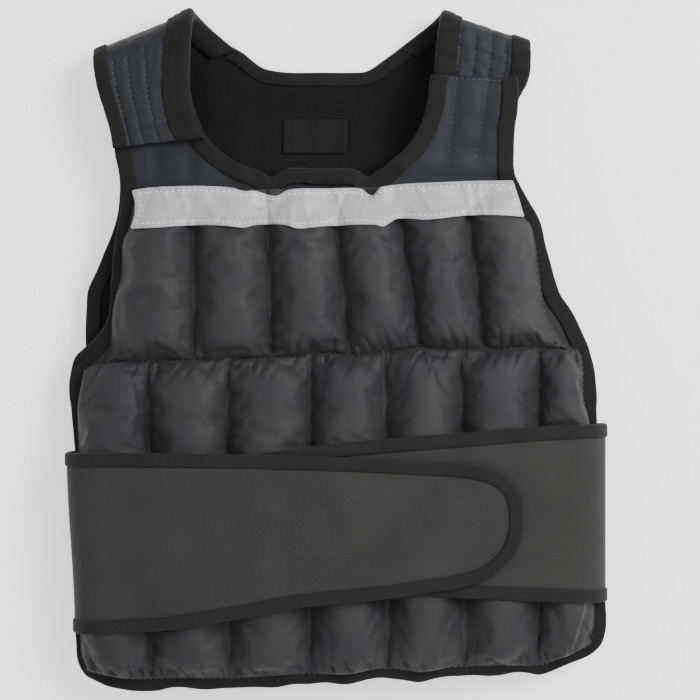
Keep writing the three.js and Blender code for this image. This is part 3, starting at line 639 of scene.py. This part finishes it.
# Front panel: quilted shoulders and chest, with the pockets sewn on below
frontPanel = {
    "wall": 3.6 * mm,
    "rimTape": 11 * mm,
    "neckTape": 11.5 * mm,
    "cell": 5 * mm,
    "inset": 2.6 * mm,
    "rim": [(-188, 204), (-184.5, 185), (-181.7, 163), (-179, 148), (-177, 129.5), (-177, 115),
            (-180, 98), (-182.5, 84), (-184, 68), (-185, 54), (-185.5, 40), (-189.5, 22), (-199.7, 7.3),
            (-207.5, 1), (-216, -9), (-220, -29.3), (-218.5, -50), (-216.2, -70), (-215, -100),
            (-215, -150), (-214.6, -200), (-214.3, -237), (-213.5, -253.3), (-211, -261.5),
            (-205.4, -269.6), (-195.6, -273.7), (-181, -278.4), (-166, -280.4), (-146, -280.2),
            (-137, -277.8), (-127, -277), (-112, -278.4), (-88, -277), (-68.5, -277), (-49, -276.1),
            (-29.3, -273.7), (-9.8, -272.9), (9.8, -273.7), (29.3, -269.6), (39, -268.8), (54, -270.5),
            (68.5, -272), (88, -268.2), (107, -267.2), (127, -268), (146.7, -264.9), (156.5, -265.5),
            (166, -267), (176, -264.7), (190, -259), (205.4, -254.1), (214, -249), (218.6, -244),
            (221.4, -236), (222.3, -220), (221.5, -205), (216.5, -190), (215, -150), (215, -100),
            (215, -57.8), (213.7, -25.2), (211, -9), (205.4, 7.3), (198, 23.6), (191, 35), (184.5, 44),
            (180.1, 57), (175.4, 72.5), (171.2, 88.8), (166.9, 106), (158, 121.4), (151, 134),
            (146.5, 144.2), (145.6, 160), (146.7, 183), (148.6, 200), (149.3, 213), (148, 221)],
    "neck": [(77, 224), (75.6, 216), (74.2, 202.8), (71.7, 190.6), (67, 179), (61, 169.5), (52, 159.5),
             (42, 151.5), (33, 145), (25.5, 140.5), (19, 145.2), (12, 147.4), (-13, 147.8), (-38, 147.4),
             (-45.5, 144.5), (-52.2, 140.8), (-60.3, 144.2), (-82.3, 154), (-98.6, 166.2), (-108, 178),
             (-113.5, 190), (-119, 210)],
}


# The camera's frame, which also says where low pieces have to lie to be seen in their place
view = {"lens": 100, "sensor": 36, "frameWidth": 570.5 * mm, "middle": (11.4 * mm, -0.8 * mm),
        "subject": 45 * mm}
distance = view["frameWidth"] * view["lens"] / view["sensor"]


# The seam lines of a row of pockets: those between the pockets first, then its two ends
def clothSeams(piece, pockets, rows):
    cells = frontPockets["cellsAcross"]
    across = pockets * cells + 1
    spots = [vert.co.copy() for vert in piece.data.vertices]
    starts = range(0, across, cells)
    between = [[spots[row * across + start] for row in range(rows + 1)] for start in starts]
    return between + [spots[:across], spots[-across:]]


# Keeps the seams sharp while the cloth between them is smoothed, and makes the smoothing part of the mesh
def sharpenSeams(piece, pockets, rows):
    pinned = set(seamVertices(piece, pockets * frontPockets["cellsAcross"], rows, pockets))
    bm = bmesh.new()
    bm.from_mesh(piece.data)
    crease = bm.edges.layers.float.new("crease_edge")
    for edge in bm.edges:
        if all(vert.index in pinned for vert in edge.verts):
            edge[crease] = 0.7
    bm.to_mesh(piece.data)
    bm.free()
    smoothed = piece.evaluated_get(bpy.context.evaluated_depsgraph_get())
    finished = bpy.data.meshes.new_from_object(smoothed)
    piece.modifiers.clear()
    piece.data = finished


# Gathers and puckers beside the seams, where the cloth is fuller than the seam that holds it
def gatherSeams(piece, seams, size, seed):
    spots = np.array([vert.co[:] for vert in piece.data.vertices])
    aways = []
    for lines, run, side in ((seams[:-2], 1, 0), (seams[-2:], 0, 1)):
        away = np.full(len(spots), 1.0)
        for line in lines:
            ordered = sorted(line, key=lambda spot: spot[run])
            seamAt = np.interp(spots[:, run], [spot[run] for spot in ordered],
                               [spot[side] for spot in ordered])
            away = np.minimum(away, np.abs(spots[:, side] - seamAt))
        aways.append(away)
    for vert, side, end in zip(piece.data.vertices, *aways):
        x, y, _ = vert.co
        gathers = 0.8 * bumpy(x, y * 0.25, 6.5 * mm, seed)
        gathers -= 1.6 * math.exp(-((bumpy(x + 0.4 * end, y * 0.4, 15 * mm, seed + 5) / 0.09) ** 2))
        puckers = 0.6 * bumpy(x * 0.25, y, 5 * mm, seed + 8)
        nearEnd, nearSide = end / (6 * mm), side / (3.5 * mm)
        atEnd, atSide = [(near * math.exp(1 - near)) ** 2 for near in (nearEnd, nearSide)]
        vert.co.z += size * (atEnd * gathers + atSide * puckers)


# Presses the pockets down under the belt that crosses them
def pressUnder(piece, covers, clearance):
    graph = bpy.context.evaluated_depsgraph_get()
    trees = [BVHTree.FromObject(cover, graph) for cover in covers]
    bm = bmesh.new()
    bm.from_mesh(piece.data)
    pressed = set()
    for vert in bm.verts:
        for tree in trees:
            under = tree.ray_cast(Vector((vert.co.x, vert.co.y, 0.02)), Vector((0, 0, 1)))[0]
            if under and vert.co.z > under.z - clearance:
                vert.co.z = under.z - clearance
                pressed.add(vert)
    print("pressed under the belt:", len(pressed), "points")
    ring = set(pressed)
    for _ in range(5):
        ring |= {edge.other_vert(vert) for vert in ring for edge in vert.link_edges}
    ring = sorted(ring - pressed, key=lambda vert: vert.index)
    for _ in range(4):
        bmesh.ops.smooth_vert(bm, verts=ring, factor=0.5, use_axis_x=False, use_axis_y=False,
                              use_axis_z=True)
    bm.to_mesh(piece.data)
    bm.free()


lowerSeams = clothSeams(lowerCloth, 7, 80)
upperSeams = clothSeams(upperCloth, 6, 44)
sharpenSeams(lowerCloth, 7, 80)
sharpenSeams(upperCloth, 6, 44)
gatherSeams(lowerCloth, lowerSeams, 2.3 * mm, 2.0)
gatherSeams(upperCloth, upperSeams, 2.3 * mm, 11.0)
pressUnder(lowerCloth, [bpy.data.objects["beltWingLeft"], bpy.data.objects["beltWingRight"]], 0.7 * mm)


# Moves a line that runs with the cloth on its left in from the edge
def insetLine(points, distance):
    moved = []
    for i, p in enumerate(points):
        run = (points[min(i + 1, len(points) - 1)] - points[max(i - 1, 0)]).normalized()
        moved.append(Vector((p[0] - run[1] * distance, p[1] + run[0] * distance)))
    return moved


# Stations along a cut edge whose tape lies down along the cloth beside it
def flatStations(line, heightOf, reach=10.5 * mm):
    stations = []
    for i, p in enumerate(line):
        run = (line[min(i + 1, len(line) - 1)] - line[max(i - 1, 0)]).normalized()
        inward = Vector((-run[1], run[0]))
        base = heightOf(p[0], p[1])
        steps = [reach * share for share in (0.3, 0.55, 0.8, 1.0)]
        rise = max((heightOf(p[0] + inward[0] * t, p[1] + inward[1] * t) - base) / t for t in steps)
        outward = Vector((-inward[0], -inward[1], -rise)).normalized()
        stations.append((Vector((p[0], p[1], base)), outward, outward.cross(Vector((run[0], run[1], 0)))))
    return stations


# A sewn edge runs a little in and out
def wavyLine(line, swing, seed):
    moved = insetLine(line, swing)
    return [p + (q - p) * bumpy(p[0], p[1], 15 * mm, seed) for p, q in zip(line, moved)]


# How close a place is to a line of two points in millimetres, as a dent from 1 to 0
def alongDent(x, y, line, width):
    (ax, ay), (bx, by) = [[c * mm for c in p] for p in line]
    share = min(max((y - ay) / (by - ay), 0), 1)
    low, high, soft = min(ay, by), max(ay, by), 4 * mm
    fade = smoothStep(y, low - soft, low) * (1 - smoothStep(y, high, high + soft))
    return math.exp(-(((x - mix(ax, bx, share)) / width) ** 2)) * fade


# Quilting lines on the chest, in millimetres: two on the right shoulder, two on the left
frontQuilting = [
    [(98.6, 222), (90, 152)],
    [(123.9, 222), (113, 152)],
    [(-147.5, 166), (-146, 133)],
    [(-120.6, 160), (-119, 133)],
]


def frontSurface(x, y):
    z = frontHeight(x, y)
    chest = smoothStep(y, 128 * mm, 140 * mm)
    for line in frontQuilting:
        z -= 2.2 * mm * alongDent(x, y, line, 3.2 * mm) * chest
    flap = smoothStep(x, 30 * mm, 60 * mm)
    buckle = mix(151, 146, smoothStep(x, 50 * mm, 150 * mm)) * mm
    z += 2.6 * mm * flap * math.exp(-(((y - buckle) / (5 * mm)) ** 2))
    z -= 1.4 * mm * flap * math.exp(-(((y - 141 * mm) / (3.5 * mm)) ** 2))
    z += chest * (1.3 * mm * bumpy(x, y * 1.6, 20 * mm, 2.0) + 0.6 * mm * bumpy(x, y, 8 * mm, 5.0))
    for crease in (-49 * mm, 25 * mm):  # the neckline buckles at both ends of its middle
        z -= 3.0 * mm * math.exp(-(((x - crease) / (5 * mm)) ** 2)) * smoothStep(y, 132 * mm, 144 * mm)
    return z


def addFrontPanel():
    rim = insetLine(lineThrough(frontPanel["rim"], 360), frontPanel["inset"])
    neck = insetLine(lineThrough(frontPanel["neck"], 120), frontPanel["inset"])
    bm = outlineMesh(rim + neck, frontPanel["cell"], lambda x, y: Vector((x, y, frontSurface(x, y))))
    piece = addPiece("frontPanelCloth", bm, quilt)
    piece.data.materials.append(lining)
    thicken(piece, frontPanel["wall"]).modifiers["Wall"].material_offset = 1
    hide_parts("front_panel")
    over = lambda x, y: frontSurface(x, y) + 0.3 * mm
    wall = frontPanel["wall"]
    stations = flatStations(wavyLine(rim, 0.9 * mm, 3.0), over)
    edge = addTape("frontRimBinding", stations, frontPanel["rimTape"], wall, tape)
    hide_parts("front_rim_binding")
    stations = flatStations(wavyLine(neck, 0.8 * mm, 6.0), over)
    neckEdge = addTape("frontNeckBinding", stations, frontPanel["neckTape"], wall, tape)
    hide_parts("front_neck_binding")


addFrontPanel()
print("front panel ready")

# Reflective stripe over the heads of the upper pockets, with its dashed stitching
stripe = {
    "low": [(-167, 97.8), (-147.5, 97.8), (-115.7, 100.2), (-91.3, 99.4), (-74.2, 97.8), (-66, 100),
            (-55.4, 101), (-42.4, 100.2), (-30.2, 97), (-4.9, 99.4), (31, 100.2), (38.5, 98.6),
            (49.7, 105.4), (74.2, 104.3), (107.6, 108.2), (153.2, 107.5)],
    "high": [(-167, 129.5), (-150.8, 132), (-108.4, 132.8), (-84.8, 131.2), (-75.8, 128.4), (-66, 128.7),
             (-48.9, 124.4), (-38.3, 129.3), (-4.9, 130.3), (20, 130.3), (29, 125), (37.5, 132),
             (88.8, 136), (144.3, 137.7)],
    "dents": [(-57 * mm, 7 * mm), (30 * mm, 5 * mm)],  # where it sinks between two pockets, and how wide
    "pinch": 3.6 * mm,  # how far the left end bends in at its middle
    "cloth": 0.9 * mm,
    "clothSize": (318 * mm, 32 * mm),
    "across": 170,
    "along": 16,
    "stitch": {"length": 3.0 * mm, "gap": 1.7 * mm, "width": 0.75 * mm},
}


def clothTree(piece):
    graph = bpy.context.evaluated_depsgraph_get()
    return BVHTree.FromObject(piece, graph)


def topOf(tree, x, y, fallback):
    spot, _, _, _ = tree.ray_cast(Vector((x, y, 0.3)), Vector((0, 0, -1)))
    return spot.z if spot else fallback


def addStripe():
    tree = clothTree(upperCloth)
    low, high = lineThrough(stripe["low"], 200), lineThrough(stripe["high"], 200)
    across, along = stripe["across"], stripe["along"]
    plan = np.zeros((along + 1, across + 1, 3))
    for row in range(along + 1):
        v = row / along
        left = mix(low[0], high[0], v)[0] + stripe["pinch"] * math.sin(math.pi * v)
        right = mix(low[-1], high[-1], v)[0]
        for column in range(across + 1):
            x = mix(left, right, column / across)
            y = mix(heightAt(low, x), heightAt(high, x), v)
            plan[row, column] = x, y, topOf(tree, x, y, frontHeight(x, y) + 3 * mm)
    raw = plan[:, :, 2]
    kernel = np.exp(-(np.arange(-9, 10) / 5.0) ** 2)
    kernel /= kernel.sum()
    padded = np.pad(raw, ((0, 0), (9, 9)), mode="edge")
    eased = np.array([np.convolve(line, kernel, mode="valid") for line in padded])
    for row in range(along + 1):
        for column in range(across + 1):
            x, y = plan[row, column, :2]
            dents = sum(4.2 * mm * math.exp(-(((x - at) / width) ** 2)) for at, width in stripe["dents"])
            folds = 1.7 * mm * math.exp(-((bumpy(x + 0.45 * y, y * 0.3, 24 * mm, 15.0) / 0.08) ** 2))
            folds -= 1.5 * mm * math.exp(-((bumpy(x - 0.35 * y, y * 0.3, 27 * mm, 31.0) / 0.07) ** 2))
            z = eased[row, column] + 2.4 * mm + 0.9 * mm * bumpy(x, y * 0.6, 20 * mm, 4.0) - dents + folds
            plan[row, column, 2] = max(z, raw[row, column] + 0.9 * mm)
    placeAt = lambda u, v: Vector(plan[round(v * along), round(u * across)])
    bm = gridMesh(across, along, placeAt, stripe["clothSize"])
    piece = addPiece("reflectiveStripe", bm, reflective)
    subdivide(piece)
    thicken(piece, stripe["cloth"])
    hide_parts("reflective_stripe")
    return piece, plan


# Dashed stitches laid along lines of points, one line at a time to keep the building quick
def addStitches(name, lines, sew, material):
    whole = bmesh.new()
    for points in lines:
        runs = runLengths(points)
        step = sew["length"] + sew["gap"]
        axes = [[p[c] for p in points] for c in range(3)]
        seam = bmesh.new()
        for k in range(int(runs[-1] / step)):
            middle = (k + 0.5) * step
            ends = (middle, middle + 0.4 * mm)
            spot, ahead = [Vector([np.interp(run, runs, axis) for axis in axes]) for run in ends]
            turn = (ahead - spot).to_track_quat("X", "Z").to_matrix().to_4x4()
            size = Matrix.Diagonal((sew["length"] / 2, sew["width"] / 2, sew["width"] / 3, 1))
            place = Matrix.Translation(spot) @ turn @ size
            bmesh.ops.create_uvsphere(seam, u_segments=6, v_segments=4, radius=1, matrix=place)
        sewn = bpy.data.meshes.new("seam")
        seam.to_mesh(sewn)
        seam.free()
        whole.from_mesh(sewn)
        bpy.data.meshes.remove(sewn)
    return addPiece(name, whole, material)


stripePiece, stripePlan = addStripe()
threadLook = dict(cloths["glassBeadReflectiveTape"], light="f2f2f2", dark="dddddd", roughness=0.6)
whiteThread = makeCloth("spunPolyesterThread", threadLook)
greyThread = makeCloth("greySewingThread", dict(threadLook, light="3d4148", dark="2c3036"))
darkThread = makeCloth("darkSewingThread", dict(threadLook, light="121312", dark="0a0b0a"))


def stripeLine(fromRow, fromColumn, toRow, toColumn, count):
    rise = stripe["cloth"] / 2 + 0.15 * mm
    line = []
    for k in range(count + 1):
        row, column = mix(fromRow, toRow, k / count), mix(fromColumn, toColumn, k / count)
        r, c = min(int(row), stripe["along"] - 1), min(int(column), stripe["across"] - 1)
        low = stripePlan[r, c] * (1 - column + c) + stripePlan[r, c + 1] * (column - c)
        high = stripePlan[r + 1, c] * (1 - column + c) + stripePlan[r + 1, c + 1] * (column - c)
        spot = low * (1 - row + r) + high * (row - r)
        line.append(Vector((spot[0], spot[1], spot[2] + rise)))
    return line


lastRow, lastColumn = stripe["along"], stripe["across"]
inRow, inColumn = 1.9, 2.0
stripeSeams = [
    stripeLine(inRow, inColumn, inRow, lastColumn - inColumn, 300),
    stripeLine(lastRow - inRow, inColumn, lastRow - inRow, lastColumn - inColumn, 300),
    stripeLine(inRow, inColumn, lastRow - inRow, inColumn, 30),
    stripeLine(inRow, lastColumn - inColumn, lastRow - inRow, lastColumn - inColumn, 30),
]
stripeThread = addStitches("stripeStitching", stripeSeams, stripe["stitch"], whiteThread)
print("reflective stripe ready")


# Moves a point in millimetres, read off at the camera's own level, to where it lies at another height
def seenAt(point, height):
    grow = (view["subject"] + distance - height * mm) / distance
    return tuple(c / mm + (p - c / mm) * grow for p, c in zip(point, view["middle"]))


# Shoulder straps: out of the back, over a soft fold and down the front
straps = {
    "left": {
        "level": vest["leftStrap"], "outerRoot": (-191, 209.7), "innerRoot": (-85.1, 246),
        "outer": [(-198.9, 243.6), (-197.2, 227.3), (-194, 211), (-189, 194.7), (-184.2, 178.4),
                  (-181.7, 163.7)],
        "inner": [(-116.5, 276.6), (-118.5, 250), (-119, 235.4), (-119, 211), (-113.3, 182.5),
                  (-106.8, 171.9)],
        "seams": [0.17, 0.33, 0.52, 0.72],
        "outerTape": (8.5 * mm, 1), "innerTape": (19 * mm, 3),
    },
    "right": {
        "level": vest["rightStrap"], "outerRoot": (151.9, 212), "innerRoot": (54.3, 246.5),
        "outer": [(159.7, 251.7), (159.5, 240), (158.9, 227), (156, 217), (150, 206), (141, 180)],
        "inner": [(86.4, 276.6), (83.5, 258), (81.5, 240), (80.5, 223.2), (78, 187)],
        "seams": [0.25, 0.42, 0.6, 0.78],
        "outerTape": (13 * mm, 1), "innerTape": (14.6 * mm, 2),
    },
    "wall": 5.2 * mm,
    "clothSize": (85 * mm, 190 * mm),
    "inset": 2.8 * mm,
    "stitch": {"length": 2.6 * mm, "gap": 1.9 * mm, "width": 0.6 * mm},
    "along": 110,
    "across": 60,
}


def strapEdge(side, word):
    plan = straps[side]
    front = lineThrough(plan[word], 120)
    runs = runLengths(front)
    fold, root = front[0], Vector(seenAt(plan[word + "Root"], 5)) * mm
    bend = (plan["level"] - vest["backShoulder"]) / 2
    backRun = (root - fold).length - bend + 5 * mm
    frontRun = runs[-1] - bend
    total = backRun + math.pi * bend + frontRun

    def at(v):
        run = v * total
        if run < backRun:
            return (*(root + (fold - root).normalized() * (run - 5 * mm)), vest["backShoulder"])
        if run < backRun + math.pi * bend:
            angle = (run - backRun) / bend - math.pi / 2
            reach = bend * (1 - math.cos(angle))
            z = vest["backShoulder"] + bend * (1 + math.sin(angle))
            if angle < 0:
                return (*(fold + (root - fold).normalized() * reach), z)
        else:
            reach, z = run - backRun - math.pi * bend + bend, plan["level"]
        return tuple(float(np.interp(reach, runs, [p[k] for p in front])) for k in range(2)) + (z,)

    return at


def addStrap(side):
    plan = straps[side]
    outer, inner = strapEdge(side, "outer"), strapEdge(side, "inner")
    first, second = (outer, inner) if side == "left" else (inner, outer)
    clothWidth, clothLength = straps["clothSize"]

    def middleAt(u, v):
        a, b = Vector(first(v)), Vector(second(v))
        pull = (b - a).normalized() * straps["inset"]
        return (a + pull).lerp(b - pull, u)

    def alongAt(u, v):
        near = 0.004
        return middleAt(u, min(v + near, 1)) - middleAt(u, max(v - near, 0))

    def offFloor(v):  # from 0 on the part that lies on the floor to 1 beyond it
        return smoothStep(v, 0.3, 0.5)

    def placeAt(u, v):
        spot = middleAt(u, v)
        across = middleAt(1, v) - middleAt(0, v)
        inward = across.cross(alongAt(u, v)).normalized()
        share = u if side == "left" else 1 - u
        aways = [(share - seam) * clothWidth / (2.6 * mm) for seam in plan["seams"]]
        quilted = sum(math.exp(-(away**2)) for away in aways)
        ripple = 0.9 * bumpy(share * 0.09, v * 0.2, 9 * mm, 1.0 + len(side))
        ripple += 0.7 * bumpy(share * 0.04, v * 0.3, 12 * mm, 8.0)
        ends = 1.2 * math.exp(-(((v - 0.93 + 0.05 * share) * clothLength / (2.2 * mm)) ** 2))
        return spot + inward * offFloor(v) * (1.1 * quilted + ends - ripple) * mm

    bm = gridMesh(straps["across"], straps["along"], placeAt, straps["clothSize"])
    name = side + "Strap"
    piece = addPiece(name, bm, lining)  # the grid faces the wearer
    piece.data.materials.append(quilt)
    thicken(piece, straps["wall"]).modifiers["Wall"].material_offset = 1
    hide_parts(f"strap_{side}")
    for word, u in (("outer", 0.0), ("inner", 1.0)):
        width, layers = plan[word + "Tape"]
        share = u if side == "left" else 1 - u
        stations = []
        for k in range(141):
            v = k / 140
            point, across = placeAt(share, v), middleAt(share, v) - middleAt(0.5, v)
            normal = across.cross(alongAt(share, v)).normalized() * (1 if share > 0.5 else -1)
            onFloor = 1 - offFloor(v)  # the extra strips would sink into the floor here
            point = point + Vector((0, 0, onFloor * (layers - 1) * vest["tape"]))
            stations.append((point, across.normalized(), -normal))
        edgeName = name + word.capitalize() + "Binding"
        edge = addTape(edgeName, stations, width, straps["wall"], tape, layers)
        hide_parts(f"strap_{side}_{word}_binding")
    lift = Vector((0, 0, straps["wall"] / 2 + 0.2 * mm))
    rows = []
    for seam in plan["seams"]:
        u = seam if side == "left" else 1 - seam
        rows.append([placeAt(u, mix(0.5, 0.9, k / 60)) + lift for k in range(61)])
    addStitches(name + "Stitching", rows, straps["stitch"], greyThread)


addStrap("left")
addStrap("right")
print("shoulder straps ready")

# Back panel: dark mesh lining inside, plain cloth outside, on its own filled pockets
backPanel = {
    "wall": 3.4 * mm,
    "rimTape": 10 * mm,
    "neckTape": 9 * mm,
    "cell": 6 * mm,
    "inset": 2.6 * mm,
    "rim": [(-191, 209.7), (-188.4, 201.9), (-186, 194), (-178, 166), (-176, 148), (-176, 137.7),
            (-177.7, 113), (-181.7, 97), (-188.3, 80.6), (-195.6, 64.4), (-204.5, 48), (-206.5, 36),
            (-208, 20), (-208, 5), (-206, -20), (-204, -60), (-204, -150), (-204, -230), (-203, -250),
            (-199, -266), (-178, -274), (-108.5, -275.5), (0, -272.4), (108.5, -267.9), (184.5, -261.2),
            (201, -251), (204, -230), (204, -150), (204, -60), (204, -23.5), (198.5, 10), (181, 43.4),
            (169, 82.5), (159.5, 113), (145, 141), (143.2, 171.8), (145.8, 194), (148.4, 203),
            (151.9, 212)],
    "neck": [(54.3, 246.9), (48.9, 242.7), (42.4, 237.9), (35.9, 233.3), (29.3, 228.6), (22.8, 226),
             (10, 225.4), (-20, 225.4), (-40, 225.8), (-55.4, 228), (-62, 230.8), (-68.5, 235.6),
             (-75, 241), (-85.1, 246.9)],
    "patch": {"left": -44.3 * mm, "right": 9 * mm, "low": 162.3 * mm, "high": 191.6 * mm,
              "cloth": 1.0 * mm, "lift": 3.2 * mm},
}


def backSurface(x, y):
    inNeck = smoothStep(y, 120 * mm, 150 * mm)
    fold = 3.0 * bumpy(x * 1.4, y * 0.5, 26 * mm, 6.0) + 0.7 * bumpy(x, y, 9 * mm, 2.5)
    return backHeight(x, y) + fold * mm * inNeck


def addBackPanel():
    placed = {}
    for word in ("rim", "neck"):
        placed[word] = []
        for x, y in backPanel[word]:
            height = mix(45, backHeight(x * mm, y * mm) / mm, smoothStep(y, 20, 80))
            placed[word].append(seenAt((x, y), height))
    rim = insetLine(lineThrough(placed["rim"], 300), backPanel["inset"])
    neck = insetLine(lineThrough(placed["neck"], 90), backPanel["inset"])
    bm = outlineMesh(rim + neck, backPanel["cell"], lambda x, y: Vector((x, y, backSurface(x, y))))
    piece = addPiece("backPanelLining", bm, lining)
    piece.data.materials.append(nylon)
    thicken(piece, backPanel["wall"]).modifiers["Wall"].material_offset = 1
    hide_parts("back_panel")
    for word, line in (("rim", rim), ("neck", neck)):
        name, width = "back" + word.capitalize() + "Binding", backPanel[word + "Tape"]
        stations = flatStations(line, backSurface)
        edge = addTape(name, stations, width, backPanel["wall"], tape)
        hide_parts(f"back_{word}_binding")
    patch = backPanel["patch"]

    def patchAt(u, v):
        x, y = mix(patch["left"], patch["right"], u), mix(patch["low"], patch["high"], v)
        return Vector((x, y, backSurface(x, y) + patch["lift"]))

    size = (patch["right"] - patch["left"], patch["high"] - patch["low"])
    label = addPiece("liningPatch", gridMesh(24, 14, patchAt, size), patchCloth)
    thicken(label, patch["cloth"])
    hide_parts("lining_patch")


addBackPanel()
print("back panel ready")

# The back's pockets: the front's rows, drawn in to their own place and flattened by the floor and the belt
backPockets = {
    "depth": 24 * mm,
    "floor": 0.3 * mm,
    "overBelt": 6.2 * mm,
    "side": 184 * mm,
    "lower": {"from": -268 * mm, "length": 262 * mm, "to": (-247 * mm, -8 * mm)},
    "upper": {"from": -8 * mm, "length": 140 * mm, "to": (-6 * mm, 118 * mm)},
    "beltMiddle": (-158, -134),
    "beltHalf": (78 * mm, 86 * mm),
}


def addBackPockets(row, rowsAlong):
    baseAt = lambda x, y: backHeight(x, y) - vest["panel"] / 2 - 1.0 * mm
    grow = backPockets["depth"] / frontPockets["height"]
    bm, pockets = rowPlan(row, rowsAlong, lambda x, y: 0, grow)
    plan, side = backPockets[row], backPockets["side"]
    for vert in bm.verts:
        x = min(max(vert.co.x, -side), side)
        y = mix(*plan["to"], min(max((vert.co.y - plan["from"]) / plan["length"], 0), 1))
        beltMiddle = mix(*backPockets["beltMiddle"], (x + 0.22) / 0.44) * mm
        onBelt = 1 - smoothStep(abs(y - beltMiddle), *backPockets["beltHalf"])
        lowest = mix(backPockets["floor"], backPockets["overBelt"], onBelt)
        vert.co = (x, y, max(baseAt(x, y) - vert.co.z, lowest))
    bmesh.ops.reverse_faces(bm, faces=bm.faces[:])
    piece = addPiece("backPocketCloth" + row.capitalize(), bm, nylon)
    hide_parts(*[f"back_pocket_{row}_{k + 1}" for k in range(pockets)])


addBackPockets("lower", 70)
addBackPockets("upper", 40)
print("back pockets ready")

# Stitches that hold the hook patch under the belt's upper end
hookPatch = {
    "corners": [(-36, -125.6), (134, -115.7), (136.5, -119.5), (135.5, -162), (132, -164.6),
                (-36, -168.6), (-36, -125.6)],
    "stitch": {"length": 3.0 * mm, "gap": 1.5 * mm, "width": 0.7 * mm},
}


def addHookPatchStitches():
    tree = clothTree(bpy.data.objects["beltWingLeft"])
    line = []
    corners = [Vector(corner) * mm for corner in hookPatch["corners"]]
    for a, b in zip(corners, corners[1:]):
        for k in range(40):
            x, y = a.lerp(b, k / 40)
            line.append(Vector((x, y, topOf(tree, x, y, 0.06) + 0.15 * mm)))
    addStitches("hookPatchStitching", [line], hookPatch["stitch"], darkThread)


addHookPatchStitches()

# Seam thread of the pockets, dark and almost unbroken, so that besides the real stitches it paints the
# shade in the seam valleys; and the thread of the quilting on the right shoulder
pocketThreadAndSeamShade = {"length": 3.9 * mm, "gap": 0.9 * mm, "width": 1.2 * mm, "lift": Vector((0, 0, 0.35 * mm))}
pocketLines = []
for line in lowerSeams + upperSeams:  # none of them under the stripe
    pocketLines.append([spot + pocketThreadAndSeamShade["lift"] for spot in line if spot.y < 98 * mm])
addStitches("pocketSeamThreadAndShade", pocketLines, pocketThreadAndSeamShade, darkThread)
chestLines = []
flapSeam = [(88, 220.8), (145.9, 217.5)]  # across the upper end of the right flap
for (ax, ay), (bx, by) in frontQuilting[:2] + [flapSeam]:
    line = []
    for k in range(41):
        x, y = mix(ax, bx, k / 40) * mm, mix(ay, by, k / 40) * mm
        line.append(Vector((x, y, frontSurface(x, y) + 2.9 * mm)))
    chestLines.append(line)
addStitches("chestStitching", chestLines, straps["stitch"], greyThread)
print("stitching ready")

# Pale floor, soft light from the upper right, and a camera straight above
floorMesh = bmesh.new()
bmesh.ops.create_grid(floorMesh, x_segments=2, y_segments=2, size=12)
floor = bpy.data.objects.new("floor", bpy.data.meshes.new("floor"))
floorMesh.to_mesh(floor.data)
floorMesh.free()
scene.collection.objects.link(floor)
paper = bpy.data.materials.new("mattPaperBackdrop")
paper.use_nodes = True
paperShader = paper.node_tree.nodes["Principled BSDF"]
paperShader.inputs["Base Color"].default_value = fromHex("f4f4f3")
paperShader.inputs["Roughness"].default_value = 0.9
paperShader.inputs["Emission Color"].default_value = (1, 1, 1, 1)  # lifts the backdrop towards white
paperShader.inputs["Emission Strength"].default_value = 0.6
floor.data.materials.append(paper)

studio = {
    "key": {"at": (1.1, 0.6, 1.35), "size": 0.9, "power": 52},
    "fill": {"at": (-0.9, 0.4, 1.6), "size": 1.6, "power": 9},
    "low": {"at": (0.2, -1.3, 1.2), "size": 1.2, "power": 9},
}
for name, lamp in studio.items():
    light = bpy.data.lights.new(name, "AREA")
    light.size = lamp["size"]
    light.energy = lamp["power"]
    holder = bpy.data.objects.new(name, light)
    holder.location = lamp["at"]
    aim = Vector((0, 0, 0.03)) - Vector(lamp["at"])
    holder.rotation_euler = aim.to_track_quat("-Z", "Y").to_euler()
    scene.collection.objects.link(holder)

world = bpy.data.worlds.new("studioAir")
world.use_nodes = True
world.node_tree.nodes["Background"].inputs["Color"].default_value = (1, 1, 1, 1)
world.node_tree.nodes["Background"].inputs["Strength"].default_value = 1.0
scene.world = world

camera = bpy.data.objects.new("camera", bpy.data.cameras.new("camera"))
camera.data.lens = view["lens"]
camera.data.sensor_width = view["sensor"]
camera.location = (*view["middle"], view["subject"] + distance)
scene.collection.objects.link(camera)
scene.camera = camera
